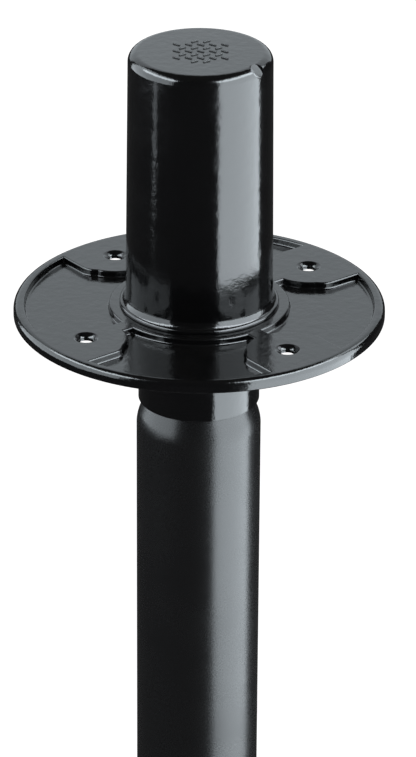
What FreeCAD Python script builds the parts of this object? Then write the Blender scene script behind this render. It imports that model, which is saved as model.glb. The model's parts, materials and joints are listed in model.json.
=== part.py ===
import FreeCAD, Part
import math
import os

# Retractable bollard, all lengths in millimetres.
#
# A heavy cast head sits on a cast cover flange that lies on the pavement. The head is carried
# by an inner post, which telescopes in a ground tube buried under the flange. A gas spring
# takes most of the weight when the head is pulled up, and two latch bolts, worked by a key
# through a pull rod, hold the post both when it is down and when it is up.
#
# +Z is up along the axis of the post. The origin is on that axis, in the flange's underside,
# which is the plane of the pavement. The rest pose is the lowered head, unlocked.

# ---------------------------------------------------------------- driving dimensions

# Overall sizes
flange_d = 300.0
flange_t = 10.0
head_h = 216.0
lift = 400.0

# Ground tube and the post that slides in it
tube_od = 101.6
tube_wall = 3.6
post_od = 76.1
post_wall = 2.9

# Clearances
run_gap = 0.08
free_gap = 0.3
seat_gap = 0.05

# Cover flange: rim, recessed lobes, pads and hub
flange_edge_r = 5.0
flange_foot_r = 1.0
rim_w = 7.5
recess_depth = 5.5
hub_r = 71.3
anchor_pcd = 227.0
anchor_hole_d = 11.0
anchor_sink_d = 19.0
anchor_sink_depth = 3.0
anchor_count = 4
pad_hollow_r = 20.0
pad_hollow_depth = 4.5
anchor_turn = 37.85
pad_side = 34.3
pad_corner_u = -8.0
pad_corner_r = 12.0
pad_round_r = 31.6
pad_round_from = 117.0
pad_round_to = 166.0
pad_neck_w = 11.0

# Neck under the flange, and the spigot that enters the ground tube
neck_step = 1.5
neck_len = 74.6
neck_root_r = 3.0
spigot_len = 45.4
post_room = 2.25
tube_joint_gap = 0.2

# Upper end of the ground tube, rolled in round the tapered top of the spigot
roll_len = 23.1
roll_r = 30.0
roll_slope = 22.0
roll_lip_w = 1.3

# Head
head_base_r = 59.5
head_top_r = 57.4
head_shoulder_r = 8.0
head_foot_r = 64.5
head_foot_lip = 3.2
head_foot_step = 2.4
head_foot_round = 2.2
head_cove_r = 8.0
head_wall = 8.0
head_crown_t = 26.0
head_pocket_t = 12.0
gasket_land = 2.0
gasket_w = 6.5
gasket_t = 3.0
tread_lug_l = 6.5
tread_lug_w = 1.8
tread_lug_h = 1.0
tread_pitch = 9.5
tread_field_r = 27.0
tread_lean = 35.0
plug_azimuth = 324.0
plug_d = 13.0
plug_bore_depth = 8.0
plug_sink = 1.4

# Upper guide bush, its circlip and the wiper
bush_len = 38.0
bush_wall = 4.4
bush_top = -8.0
circlip_t = 2.0
circlip_bite = 0.9
circlip_w = 3.8
wiper_low = 0.0
wiper_top = 8.0

# Stop buffer, lower guide ring, keeper blocks and anti-turn rail
buffer_t = 6.0
guide_ring_h = 28.0
guide_ring_skin = 1.7
keeper_h = 24.0
keeper_w = 28.0
rail_w = 10.0
rail_depth = 4.9
post_tail = 1.7
end_plate_t = 4.0
sump_h = 40.0
base_plate_d = 150.0
base_plate_t = 8.0
drain_r = 6.0

# Latch
latch_over_ring = 20.0
bolt_d = 12.0
bolt_throw = 8.0
bolt_nose = 9.0
bolt_engage = 5.1
cam_t = 5.0
latch_pin_d = 5.0
cam_margin = 4.2
carrier_h = 28.0
keeper_hole_gap = 0.4

# Gas spring
gas_margin = 3.6
gas_cyl_wall = 1.5
gas_rod_d = 8.0
gas_stub_step = 1.5
gas_guide_h = 14.0
gas_piston_h = 10.0
gas_eye_r = 8.0
gas_eye_w = 11.2
gas_pin_d = 8.0
gas_pin_h = 18.0
gas_cap_t = 4.0
ear_t = 5.0
ear_w = 16.0
bracket_t = 8.0

# Pull rod
rod_d = 8.0
rod_guide_t = 8.0
nut_af = 13.0
nut_h = 6.5

# Lock
lock_z = 70.0
lock_pocket_r = 17.0
lock_pocket_wall = 4.5
lock_flange_t = 2.0
lock_tube_r = 13.0
lock_barrel_r = 10.0
lock_reach_in = 8.0
crank_disc_r = 12.0
crank_disc_t = 4.0
crank_pin_d = 4.4
crank_pin_l = 7.5
crank_tail_d = 4.8
key_well_r = 7.0
key_well_depth = 10.0
key_post_r = 4.6
cover_r = 11.0
cover_t = 2.0
cover_pivot_up = 12.5
cover_pivot_d = 4.0

# Fasteners
post_flange_t = 10.0
head_screw_d = 8.0
head_screw_count = 6
head_screw_head_d = 13.0
head_screw_head_h = 8.0
head_screw_depth = 16.0
side_screw_d = 5.0
side_screw_l = 12.0
side_screw_head_d = 9.0

# ---------------------------------------------------------------- worked-out sizes

V = FreeCAD.Vector
AXIS_X = V(1, 0, 0)
AXIS_Y = V(0, 1, 0)
AXIS_Z = V(0, 0, 1)

flange_r = flange_d / 2
rim_inner_r = flange_r - rim_w
recess_floor = flange_t - recess_depth
tube_r = tube_od / 2
tube_bore_r = tube_r - tube_wall
post_r = post_od / 2
post_bore_r = post_r - post_wall
plug_in_post_r = post_bore_r - seat_gap

head_seat_z = flange_t + free_gap
head_top_z = flange_t + head_h
head_cavity_r = head_base_r - head_wall - gasket_land
gasket_in_r = head_cavity_r + gasket_land
gasket_out_r = gasket_in_r + gasket_w
head_cavity_top = head_top_z - head_crown_t

bush_in_r = post_r + run_gap
bush_seat_r = bush_in_r + bush_wall
bush_low = bush_top - bush_len

neck_r = tube_r - neck_step
spigot_r = tube_bore_r - seat_gap
spigot_bore_r = post_r + post_room
neck_low = -neck_len
spigot_low = neck_low - spigot_len
tube_top = neck_low - tube_joint_gap
roll_low = tube_top - roll_len
roll_turn = math.radians(roll_slope)
roll_end = (tube_r - roll_r * (1 - math.cos(roll_turn)), roll_low + roll_r * math.sin(roll_turn))
roll_lip_r = roll_end[0] - (tube_top - roll_end[1]) * math.tan(roll_turn)

buffer_low = spigot_low - buffer_t
guide_ring_top = buffer_low - free_gap - lift
guide_ring_low = guide_ring_top - guide_ring_h
post_low = guide_ring_low - post_tail
base_top = post_low - end_plate_t - sump_h
base_low = base_top - base_plate_t

latch_z = guide_ring_top + latch_over_ring
bolt_r = bolt_d / 2
bolt_tip = spigot_bore_r + bolt_engage - bolt_throw
bolt_root = bolt_tip - bolt_nose
cam_half = bolt_root - free_gap - 0.1
slot_half = latch_pin_d / 2 + free_gap
latch_pin_x = cam_half - bolt_throw - slot_half - cam_margin
bolt_inner = latch_pin_x - latch_pin_d / 2 - 1.0

gas_cyl_r = (post_bore_r - bolt_r) / 2 - gas_margin
gas_y = -bolt_r - gas_margin - gas_cyl_r
gas_pin_low = base_top + gas_pin_h
gas_cyl_low = gas_pin_low + gas_eye_r + 10.0
gas_guide_top = gas_cyl_low + gas_guide_h
gas_piston_low = gas_guide_top + lift + 4.0
gas_piston_top = gas_piston_low + gas_piston_h
gas_cyl_roof = gas_piston_top + 6.0
gas_cyl_top = gas_cyl_roof + gas_cap_t
gas_pin_high = gas_cyl_top + gas_eye_r + 6.0
bracket_low = gas_pin_high + gas_eye_r + 6.0

crank_throw = bolt_throw / 2 * math.sqrt(2)
crank_up = bolt_throw / 2
yoke_z = lock_z + crank_up
lock_inner_y = post_bore_r - lock_reach_in
lock_pocket_y = head_cavity_r + lock_pocket_wall
crank_disc_y = lock_inner_y - free_gap - crank_disc_t
yoke_front = crank_disc_y - 0.5
cover_y = lock_pocket_y + lock_flange_t + 1.1
cover_flat_y = cover_y - free_gap
cover_flat_r = cover_pivot_up + cover_r + 1.5

side_screw_face = math.sqrt(post_r ** 2 - (side_screw_head_d / 2) ** 2) - seat_gap

post_top = head_cavity_top
head_screw_r = (post_r + head_cavity_r) / 2


# ---------------------------------------------------------------- helpers

def disc(radius, low, high):
    """Solid cylinder on the post's axis between two heights."""
    return Part.makeCylinder(radius, high - low, V(0, 0, low))


def ring(inner, outer, low, high):
    """Round collar on the post's axis."""
    return disc(outer, low, high).cut(disc(inner, low - 1, high + 1))


def rod(radius, start, direction, length):
    """Solid cylinder from a start point along a direction."""
    return Part.makeCylinder(radius, length, V(*start), V(*direction))


def block(x_range, y_range, z_range):
    """Box between three pairs of limits."""
    size = [high - low for low, high in (x_range, y_range, z_range)]
    return Part.makeBox(*size, V(x_range[0], y_range[0], z_range[0]))


def polar(radius, azimuth, z=0.0):
    """Point at a radius and an azimuth in degrees about the post's axis."""
    angle = math.radians(azimuth)
    return V(radius * math.cos(angle), radius * math.sin(angle), z)


def wire_through(start, steps, lift_point):
    """Closed wire from a start point through steps.

    A step of one point is a straight edge, and a step of two points is an arc through the
    first to the second. lift_point turns a 2-D point into a 3-D one.
    """
    edges = []
    here = lift_point(start)
    for step in list(steps) + [start]:
        if isinstance(step[0], tuple):
            middle = lift_point(step[0])
            there = lift_point(step[1])
            edges.append(Part.Arc(here, middle, there).toShape())
        else:
            there = lift_point(step)
            if here.distanceToPoint(there) > 1e-6:
                edges.append(Part.LineSegment(here, there).toShape())
        here = there
    return Part.Wire(edges)


def lathe(start, steps):
    """Solid turned about the post's axis from a closed outline of (radius, height) points."""
    wire = wire_through(start, steps, lambda point: V(point[0], 0, point[1]))
    return Part.Face(wire).revolve(V(0, 0, 0), AXIS_Z, 360)


def arc_mid(centre, radius, degrees):
    """Point on an arc, for its middle."""
    angle = math.radians(degrees)
    return (centre[0] + radius * math.cos(angle), centre[1] + radius * math.sin(angle))


def turned(shape, azimuth):
    """Copy of a shape turned about the post's axis."""
    copy = shape.copy()
    copy.rotate(V(0, 0, 0), AXIS_Z, azimuth)
    return copy


def around(shape, count, first=0.0):
    """List of copies of a shape, evenly spaced about the post's axis."""
    return [turned(shape, first + 360.0 * index / count) for index in range(count)]


def cut_all(shape, cutters):
    """Shape with every cutter taken away."""
    for cutter in cutters:
        shape = shape.cut(cutter)
    return shape


def hex_prism(across_flats, low, high, centre=(0.0, 0.0)):
    """Upright hexagonal bar."""
    corner = across_flats / 2 / math.cos(math.radians(30))
    points = [polar(corner, 60 * index) + V(centre[0], centre[1], low) for index in range(6)]
    face = Part.Face(Part.makePolygon(points + [points[0]]))
    return face.extrude(V(0, 0, high - low))


def save(name, shapes):
    """Write one node: a solid, or a group of separate solids."""
    solids = shapes if isinstance(shapes, list) else [shapes]
    found = [solid for shape in solids for solid in shape.Solids]
    result = found[0] if len(found) == 1 else Part.makeCompound(found)
    result.exportStep("parts/" + name + ".step")
    print(name, len(found), "solids,", round(sum(solid.Volume for solid in found) / 1000, 2), "cm3")


# ---------------------------------------------------------------- fixed in the ground

def pad_outline():
    """Half of a pad's outline, in (outward from the hole, sideways) points, hub to rim."""
    first = arc_mid((0, 0), pad_round_r, pad_round_from)
    middle = arc_mid((0, 0), pad_round_r, (pad_round_from + pad_round_to) / 2)
    last = arc_mid((0, 0), pad_round_r, pad_round_to)
    return first, middle, last


def pad_face():
    """Plan of one raised pad round the anchor hole on the +X axis, at the recess floor."""
    first, middle, last = pad_outline()
    inner_u = hub_r - 4 - anchor_pcd / 2
    outer_u = rim_inner_r + 4 - anchor_pcd / 2
    neck = pad_neck_w / 2
    steps = [
        (last[0], -neck),
        (last[0], -last[1]),
        ((middle[0], -middle[1]), (first[0], -first[1])),
        (pad_corner_u, -pad_side),
        (outer_u, -pad_side),
        (outer_u, pad_side),
        (pad_corner_u, pad_side),
        first,
        (middle, last),
        (last[0], neck),
        (inner_u, neck),
    ]
    centre_r = anchor_pcd / 2
    return Part.Face(wire_through((inner_u, -neck), steps, lambda point: V(point[0] + centre_r, point[1], recess_floor)))


def recess_lobes():
    """The material between rim, hub and pads that is left out of the casting."""
    band = ring(hub_r, rim_inner_r, recess_floor, flange_t + 1)
    pad = pad_face().extrude(V(0, 0, recess_depth + 2))
    corner_x = anchor_pcd / 2 + pad_corner_u
    corners = [edge for edge in pad.Edges if edge.Length > recess_depth + 1
               and abs(edge.CenterOfMass.x - corner_x) < 0.01 and abs(abs(edge.CenterOfMass.y) - pad_side) < 0.01]
    pad = pad.makeFillet(pad_corner_r, corners)
    return cut_all(band, around(pad, anchor_count, anchor_turn))


def anchor_holes():
    """Through holes with a countersunk mouth for the anchor screws, and the hollow under each pad."""
    hole = disc(anchor_hole_d / 2, -1, flange_t + 1).fuse(disc(pad_hollow_r, -1, pad_hollow_depth))
    hole.translate(V(anchor_pcd / 2, 0, 0))
    low = flange_t - anchor_sink_depth
    sink = Part.makeCone(anchor_hole_d / 2, anchor_sink_d / 2, anchor_sink_depth, V(anchor_pcd / 2, 0, low))
    return around(hole.fuse(sink), anchor_count, anchor_turn)


def cover_flange():
    """Cast flange, neck and spigot in one piece."""
    edge = (flange_r - flange_edge_r, flange_t - flange_edge_r)
    foot = (flange_r - flange_foot_r, flange_foot_r)
    root = (neck_r + neck_root_r, -neck_root_r)
    steps = [
        (edge[0], flange_t),
        (arc_mid(edge, flange_edge_r, 45), (flange_r, edge[1])),
        (flange_r, foot[1]),
        (arc_mid(foot, flange_foot_r, -45), (foot[0], 0.0)),
        (root[0], 0.0),
        (arc_mid(root, neck_root_r, 135), (neck_r, root[1])),
        (neck_r, neck_low),
        (roll_lip_r - roll_lip_w - seat_gap, neck_low),
        (spigot_r, roll_low),
        (spigot_r, spigot_low),
        (spigot_bore_r, spigot_low),
        (spigot_bore_r, bush_low),
        (bush_seat_r, bush_low),
    ]
    body = lathe((bush_seat_r, flange_t), steps)
    groove = ring(bush_seat_r - 1, bush_seat_r + circlip_bite, bush_top + 0.9, bush_top + 1.1 + circlip_t)
    keeper_z = latch_z + lift
    keeper = rod(bolt_r + keeper_hole_gap, (-tube_r, 0, keeper_z), (1, 0, 0), tube_od)
    keeper = keeper.common(ring(spigot_bore_r - 1, spigot_r + 1, spigot_low, neck_low))
    body = cut_all(body, [recess_lobes(), groove, keeper])
    return cut_all(body, anchor_holes())


def ground_tube():
    """Buried tube, its upper end rolled in to meet the neck."""
    steps = [
        (roll_lip_r, tube_top),
        roll_end,
        (arc_mid((tube_r - roll_r, roll_low), roll_r, roll_slope / 2), (tube_r, roll_low)),
        (tube_r, base_top),
        (tube_bore_r, base_top),
        (tube_bore_r, roll_low),
    ]
    return lathe((roll_lip_r - roll_lip_w, tube_top), steps)


def base_plate():
    """Plate welded under the ground tube, with drain holes."""
    plate = disc(base_plate_d / 2, base_low, base_top)
    drain = disc(drain_r, base_low - 1, base_top + 1)
    drain.translate(polar(post_bore_r - drain_r, 30))
    return cut_all(plate, [turned(drain, turn) for turn in (0, 60, 120)])


def upper_guide_bush():
    """Plastic bush in the hub that guides the post."""
    return ring(bush_in_r, bush_seat_r - seat_gap, bush_low, bush_top)


def bush_circlip():
    """Open spring ring that keeps the bush in the hub."""
    outer = bush_seat_r + circlip_bite - seat_gap
    clip = ring(outer - circlip_w, outer, bush_top + 1, bush_top + 1 + circlip_t)
    return clip.cut(block((-4, 4), (0, outer + 1), (bush_top, wiper_low)))


def wiper_seal():
    """Rubber ring with a lip that keeps grit out of the bush."""
    lip_r = post_r + free_gap
    outer = bush_seat_r - seat_gap
    steps = [
        (outer, wiper_low),
        (outer, wiper_top),
        (lip_r + 0.8, wiper_top),
        (lip_r, wiper_top - 1.2),
        (lip_r + 1.4, wiper_low + 3),
    ]
    return lathe((lip_r + 1.4, wiper_low), steps)


def stop_buffer():
    """Rubber ring under the spigot that the guide ring meets at the end of the lift."""
    return ring(spigot_bore_r + free_gap, tube_bore_r - free_gap, buffer_low, spigot_low)


def keeper_blocks():
    """Two blocks welded in the tube that take the latch bolts when the head is down."""
    low = latch_z - keeper_h / 2
    shell = ring(spigot_bore_r + free_gap, tube_bore_r - seat_gap, low, low + keeper_h)
    hole = rod(bolt_r + keeper_hole_gap, (-tube_r, 0, latch_z), (1, 0, 0), tube_od)
    slice_box = block((0, tube_r), (-keeper_w / 2, keeper_w / 2), (latch_z - keeper_h, latch_z + keeper_h))
    right = shell.common(slice_box).cut(hole)
    return [right, turned(right, 180)]


def anti_turn_rail():
    """Flat bar welded in the tube that stops the post from turning."""
    outer = disc(tube_bore_r - seat_gap, base_top + 10, buffer_low - 4)
    inner_y = tube_bore_r - rail_depth
    return outer.common(block((-rail_w / 2, rail_w / 2), (inner_y, tube_r), (base_top, 0)))


def gas_ears(pin_z, root_z):
    """Two ears of a gas spring bracket, from their root to past the pin."""
    inner = gas_eye_w / 2 + free_gap
    end_z = pin_z + math.copysign(gas_eye_r, pin_z - root_z)
    heights = (min(root_z, end_z), max(root_z, end_z))
    depth = (gas_y - ear_w / 2, gas_y + ear_w / 2)
    hole = rod(gas_pin_d / 2 + seat_gap, (-20, gas_y, pin_z), (1, 0, 0), 40)
    right = block((inner, inner + ear_t), depth, heights)
    left = block((-inner - ear_t, -inner), depth, heights)
    return [right.cut(hole), left.cut(hole)]


def gas_lower_bracket():
    """Clevis on the base plate for the gas spring's rod."""
    foot = block((-15, 15), (gas_y - 12, gas_y + 12), (base_top, base_top + 5))
    ears = gas_ears(gas_pin_low, base_top + 5)
    return foot.multiFuse(ears).removeSplitter()


def gas_pin(pin_z):
    """Clevis pin through a bracket's ears."""
    reach = gas_eye_w / 2 + free_gap + ear_t + 3
    pin = rod(gas_pin_d / 2, (-reach, gas_y, pin_z), (1, 0, 0), 2 * reach)
    groove_x = reach - 1.8
    for side in (-1, 1):
        start = (side * groove_x - 0.5, gas_y, pin_z)
        cutter = rod(gas_pin_d, start, (1, 0, 0), 1.0).cut(rod(gas_pin_d / 2 - 0.8, start, (1, 0, 0), 1.0))
        pin = pin.cut(cutter)
    return pin


def gas_pin_clips(pin_z):
    """Pair of open clips in the pin's grooves."""
    groove_x = gas_eye_w / 2 + free_gap + ear_t + 3 - 1.8
    clips = []
    for side in (-1, 1):
        start = (side * groove_x - 0.4, gas_y, pin_z)
        clip = rod(gas_pin_d / 2 + 2, start, (1, 0, 0), 0.8)
        clip = clip.cut(rod(gas_pin_d / 2 - 0.75, start, (1, 0, 0), 0.8))
        mouth = block((-20, 20), (gas_y - 1.5, gas_y + 1.5), (pin_z, pin_z + 10))
        clips.append(clip.cut(mouth))
    return clips


def gas_eye(pin_z):
    """Eye that turns on a clevis pin."""
    start = (-gas_eye_w / 2, gas_y, pin_z)
    hole = rod(gas_pin_d / 2 + run_gap, start, (1, 0, 0), gas_eye_w)
    return rod(gas_eye_r, start, (1, 0, 0), gas_eye_w).cut(hole)


def gas_rod():
    """Polished rod of the gas spring with its lower eye."""
    start = gas_pin_low + gas_pin_d / 2 + run_gap + 1
    shaft = rod(gas_rod_d / 2, (0, gas_y, start), (0, 0, 1), gas_piston_low - start)
    stub = rod(gas_rod_d / 2 - gas_stub_step, (0, gas_y, gas_piston_low - 1), (0, 0, 1), gas_piston_h + 3)
    return gas_eye(gas_pin_low).multiFuse([shaft, stub]).removeSplitter()


def gas_piston():
    """Piston on the rod's upper end."""
    bore_r = gas_cyl_r - gas_cyl_wall
    piston = rod(bore_r - free_gap, (0, gas_y, gas_piston_low), (0, 0, 1), gas_piston_h)
    hole_r = gas_rod_d / 2 - gas_stub_step + seat_gap
    return piston.cut(rod(hole_r, (0, gas_y, gas_piston_low), (0, 0, 1), gas_piston_h))


# ---------------------------------------------------------------- rises with the head

def head_outline():
    """Closed (radius, height) outline of the head casting."""
    lip_top = head_seat_z + head_foot_lip
    lip = (head_foot_r - head_foot_round, lip_top - head_foot_round)
    cove_low = math.acos((head_base_r + head_cove_r - head_foot_r + head_foot_step) / head_cove_r)
    cove = (head_base_r + head_cove_r, lip_top + head_cove_r * math.sin(cove_low))
    shoulder = (head_top_r - head_shoulder_r, head_top_z - head_shoulder_r)
    pocket_r = post_bore_r - 1
    steps = [
        (head_foot_r, head_seat_z),
        (head_foot_r, lip[1]),
        (arc_mid(lip, head_foot_round, 45), (lip[0], lip_top)),
        (head_foot_r - head_foot_step, lip_top),
        (arc_mid(cove, head_cove_r, 180 + math.degrees(cove_low) / 2), (head_base_r, cove[1])),
        (head_top_r, shoulder[1]),
        (arc_mid(shoulder, head_shoulder_r, 45), (shoulder[0], head_top_z)),
        (0.0, head_top_z),
        (0.0, head_top_z - head_pocket_t),
        (pocket_r, head_top_z - head_pocket_t),
        (pocket_r, head_cavity_top),
        (head_cavity_r, head_cavity_top),
    ]
    return (head_cavity_r, head_seat_z), steps


def tread_lugs():
    """Short raised bars on the crown, in staggered rows that lean left and right by turns."""
    lugs = []
    reach = int(tread_field_r // tread_pitch) + 1
    for row in range(-reach, reach + 1):
        for column in range(-reach, reach + 1):
            x = (column + 0.5 * (row % 2)) * tread_pitch
            y = row * tread_pitch * 0.75
            if math.hypot(x, y) > tread_field_r - tread_lug_l / 2:
                continue
            half_l, half_w = tread_lug_l / 2, tread_lug_w / 2
            lug = block((-half_l, half_l), (-half_w, half_w), (-1, tread_lug_h))
            lug.rotate(V(0, 0, 0), AXIS_Z, tread_lean if row % 2 else -tread_lean)
            lug.translate(V(x, y, head_top_z))
            lugs.append(lug)
    return lugs


def plug_line():
    """Centre of the shoulder's face at the plug, and the way that it faces."""
    way = polar(math.cos(math.pi / 4), plug_azimuth, math.sin(math.pi / 4))
    centre = polar(head_top_r - head_shoulder_r, plug_azimuth, head_top_z - head_shoulder_r)
    return centre + way * head_shoulder_r, way


def shoulder_bore():
    """Round seat bored in the shoulder."""
    face, way = plug_line()
    start = face - way * plug_bore_depth
    return Part.makeCylinder(plug_d / 2, plug_bore_depth + 5, start, way)


def shoulder_plug():
    """Flat plug that closes the lifting-eye thread in the shoulder."""
    face, way = plug_line()
    start = face - way * plug_bore_depth
    plug = Part.makeCylinder(plug_d / 2 - seat_gap, plug_bore_depth - plug_sink, start, way)
    rim = [edge for edge in plug.Edges if edge.CenterOfMass.distanceToPoint(face) < plug_sink + 0.1
           and len(edge.Vertexes) == 1]
    return plug.makeFillet(0.6, rim)


def head_casting():
    """Hollow cast head, with the lock pocket at its back and the plug's seat in its shoulder."""
    start, steps = head_outline()
    body = lathe(start, steps).multiFuse(tread_lugs())
    gasket_groove = ring(gasket_in_r, gasket_out_r, head_seat_z - 1, flange_t + gasket_t)
    pocket = rod(lock_pocket_r, (0, lock_pocket_y, lock_z), (0, 1, 0), 20)
    lock_hole = rod(lock_tube_r + seat_gap, (0, 40, lock_z), (0, 1, 0), 20)
    flat = rod(cover_flat_r, (0, cover_flat_y, lock_z + cover_pivot_up), (0, 1, 0), 20)
    pivot_hole = rod(cover_pivot_d / 2 + seat_gap, (0, 45, lock_z + cover_pivot_up), (0, 1, 0), 20)
    screw_top = head_cavity_top + head_screw_depth + 1
    screw_hole = disc(head_screw_d / 2 + seat_gap, head_cavity_top - 1, screw_top)
    screw_hole.translate(V(head_screw_r, 0, 0))
    cutters = [gasket_groove, flat, pocket, lock_hole, pivot_hole, shoulder_bore()]
    return cut_all(body, cutters + around(screw_hole, head_screw_count))


def inner_post():
    """Steel tube that carries the head and telescopes in the ground tube."""
    post = ring(post_bore_r, post_r, post_low, post_top)
    lock_hole = rod(lock_tube_r + free_gap, (0, 0, lock_z), (0, 1, 0), post_od)
    pivot_hole = rod(cover_pivot_d / 2 + 1, (0, 0, lock_z + cover_pivot_up), (0, 1, 0), post_od)
    bolt_hole = rod(bolt_r + keeper_hole_gap, (-post_od, 0, latch_z), (1, 0, 0), 2 * post_od)
    return cut_all(post, [lock_hole, pivot_hole, bolt_hole] + side_screw_holes())


def post_flange():
    """Ring welded round the post's top, screwed up into the head."""
    low = head_cavity_top - post_flange_t
    collar = ring(post_r + seat_gap, head_cavity_r - free_gap, low, head_cavity_top)
    hole = disc(head_screw_d / 2 + 0.4, low - 1, head_cavity_top + 1)
    hole.translate(V(head_screw_r, 0, 0))
    return cut_all(collar, around(hole, head_screw_count))


def head_screws():
    """Socket screws that hold the head on the post's flange."""
    under = head_cavity_top - post_flange_t
    shank = disc(head_screw_d / 2, under, head_cavity_top + head_screw_depth)
    head_r = min(head_screw_head_d / 2, (head_cavity_r - post_r) / 2 - free_gap)
    head = disc(head_r, under - head_screw_head_h, under)
    socket = hex_prism(6, under - head_screw_head_h - 1, under - head_screw_head_h + 4)
    screw = head.fuse(shank).removeSplitter().cut(socket)
    screw.translate(V(head_screw_r, 0, 0))
    return around(screw, head_screw_count)


def centering_ring():
    """Ring that keeps the head's foot central on the post."""
    return ring(post_r + seat_gap, head_cavity_r - seat_gap, head_seat_z + 1.7, head_seat_z + 9.7)


def foot_gasket():
    """Rubber ring under the head's foot that beds on the hub."""
    return ring(gasket_in_r + seat_gap, gasket_out_r - seat_gap, flange_t + seat_gap, flange_t + gasket_t)


def lower_guide_ring():
    """Plastic ring on the post's lower end, slotted to pass the keeper blocks and the rail."""
    low, high = guide_ring_low, guide_ring_top
    body = ring(post_r + seat_gap, tube_bore_r - run_gap, low, high)
    outside = ring(post_r + seat_gap + guide_ring_skin, tube_r, low - 1, high + 1)
    sides = block((-tube_r, tube_r), (-keeper_w / 2 - 2, keeper_w / 2 + 2), (low - 1, high + 1))
    back = block((-rail_w / 2 - 1.5, rail_w / 2 + 1.5), (0, tube_r), (low - 1, high + 1))
    return cut_all(body, [outside.common(sides), outside.common(back)])


def post_end_plate():
    """Plate welded to the post's lower end that also holds the guide ring."""
    plate = disc(post_r + 1.5, post_low - end_plate_t, post_low)
    gas_hole = rod(gas_cyl_r + 1, (0, gas_y, post_low - end_plate_t - 1), (0, 0, 1), end_plate_t + 2)
    drain = rod(drain_r, (0, -gas_y, post_low - end_plate_t - 1), (0, 0, 1), end_plate_t + 2)
    return cut_all(plate, [gas_hole, drain])


def latch_carrier():
    """Block in the post that guides the two latch bolts and the cam plate."""
    low = latch_z - carrier_h / 2
    body = disc(plug_in_post_r, low, low + carrier_h)
    bore = rod(bolt_r + run_gap, (-post_r, 0, latch_z), (1, 0, 0), post_od)
    slot_x = cam_half + 0.4
    slot_y = cam_t / 2 + free_gap
    slot = block((-slot_x, slot_x), (-slot_y, slot_y), (low - 1, low + carrier_h + 1))
    gas_hole = rod(gas_cyl_r + 0.4, (0, gas_y, low - 1), (0, 0, 1), carrier_h + 2)
    rod_well = disc(rod_d / 2 + free_gap, latch_z + bolt_r, low + carrier_h + 1)
    return cut_all(body, [bore, slot, gas_hole, rod_well] + side_screws(latch_z, 4, 45, seat_gap))


def side_screw(z, azimuth, grow=0.0):
    """Countersunk screw put in from outside through the post's wall, or the room for one."""
    head_r = side_screw_head_d / 2 + grow
    sink = (side_screw_head_d - side_screw_d) / 2
    shank = rod(side_screw_d / 2 + grow, (side_screw_face - side_screw_l, 0, z), (1, 0, 0), side_screw_l)
    head = Part.makeCone(side_screw_d / 2 + grow, head_r, sink, V(side_screw_face - sink, 0, z), AXIS_X)
    pieces = [head]
    if grow:
        pieces.append(rod(head_r, (side_screw_face, 0, z), (1, 0, 0), 2))
    return turned(shank.multiFuse(pieces).removeSplitter(), azimuth)


def side_screws(z, count, first, grow=0.0):
    """Ring of side screws at one height."""
    return [side_screw(z, first + 360.0 * index / count, grow) for index in range(count)]


def side_screw_holes():
    """Countersunk holes in the post for all the side screws."""
    holes = side_screws(latch_z, 4, 45, seat_gap)
    holes += side_screws(bracket_low + bracket_t / 2, 3, 30, seat_gap)
    holes += side_screws(-rod_guide_t / 2, 3, 30, seat_gap)
    return holes


def gas_cylinder():
    """Gas spring cylinder with its upper eye."""
    height = gas_cyl_top - gas_cyl_low
    tube = rod(gas_cyl_r, (0, gas_y, gas_cyl_low), (0, 0, 1), height)
    neck_h = gas_pin_high - gas_pin_d / 2 - run_gap - 1 - gas_cyl_top
    neck = rod(gas_rod_d / 2, (0, gas_y, gas_cyl_top - 1), (0, 0, 1), neck_h + 1)
    body = tube.multiFuse([neck, gas_eye(gas_pin_high)]).removeSplitter()
    bore_r = gas_cyl_r - gas_cyl_wall
    return body.cut(rod(bore_r, (0, gas_y, gas_cyl_low - 1), (0, 0, 1), gas_cyl_roof - gas_cyl_low + 1))


def gas_rod_guide():
    """Plug with the rod seal in the cylinder's mouth."""
    outer = gas_cyl_r - gas_cyl_wall - seat_gap
    guide = rod(outer, (0, gas_y, gas_cyl_low), (0, 0, 1), gas_guide_h)
    return guide.cut(rod(gas_rod_d / 2 + run_gap, (0, gas_y, gas_cyl_low), (0, 0, 1), gas_guide_h))


def gas_upper_bracket():
    """Plate across the post with ears for the cylinder's eye and a hole for the pull rod."""
    plate = disc(plug_in_post_r, bracket_low, bracket_low + bracket_t)
    body = plate.multiFuse(gas_ears(gas_pin_high, bracket_low)).removeSplitter()
    hole = disc(rod_d / 2 + run_gap, bracket_low - 1, bracket_low + bracket_t + 1)
    screws = side_screws(bracket_low + bracket_t / 2, 3, 30, seat_gap)
    return cut_all(body, [hole] + screws)


def rod_guide_plate():
    """Upper plate across the post that guides the pull rod."""
    plate = disc(plug_in_post_r, -rod_guide_t, 0)
    hole = disc(rod_d / 2 + run_gap, -rod_guide_t - 1, 1)
    vent = disc(8, -rod_guide_t - 1, 1)
    vent.translate(V(20, 0, 0))
    screws = side_screws(-rod_guide_t / 2, 3, 30, seat_gap)
    return cut_all(plate, [hole, vent, turned(vent, 180)] + screws)


def lock_housing():
    """Flanged sleeve through the head's wall that holds the lock barrel."""
    sleeve = rod(lock_tube_r, (0, lock_inner_y, lock_z), (0, 1, 0), lock_pocket_y - lock_inner_y)
    face = rod(lock_pocket_r - 0.4, (0, lock_pocket_y, lock_z), (0, 1, 0), lock_flange_t)
    bore = rod(lock_barrel_r + run_gap, (0, 0, lock_z), (0, 1, 0), 80)
    pivot = rod(cover_pivot_d / 2 + seat_gap, (0, 0, lock_z + cover_pivot_up), (0, 1, 0), 80)
    body = sleeve.fuse(face).removeSplitter()
    return cut_all(body, [bore, pivot])


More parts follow.
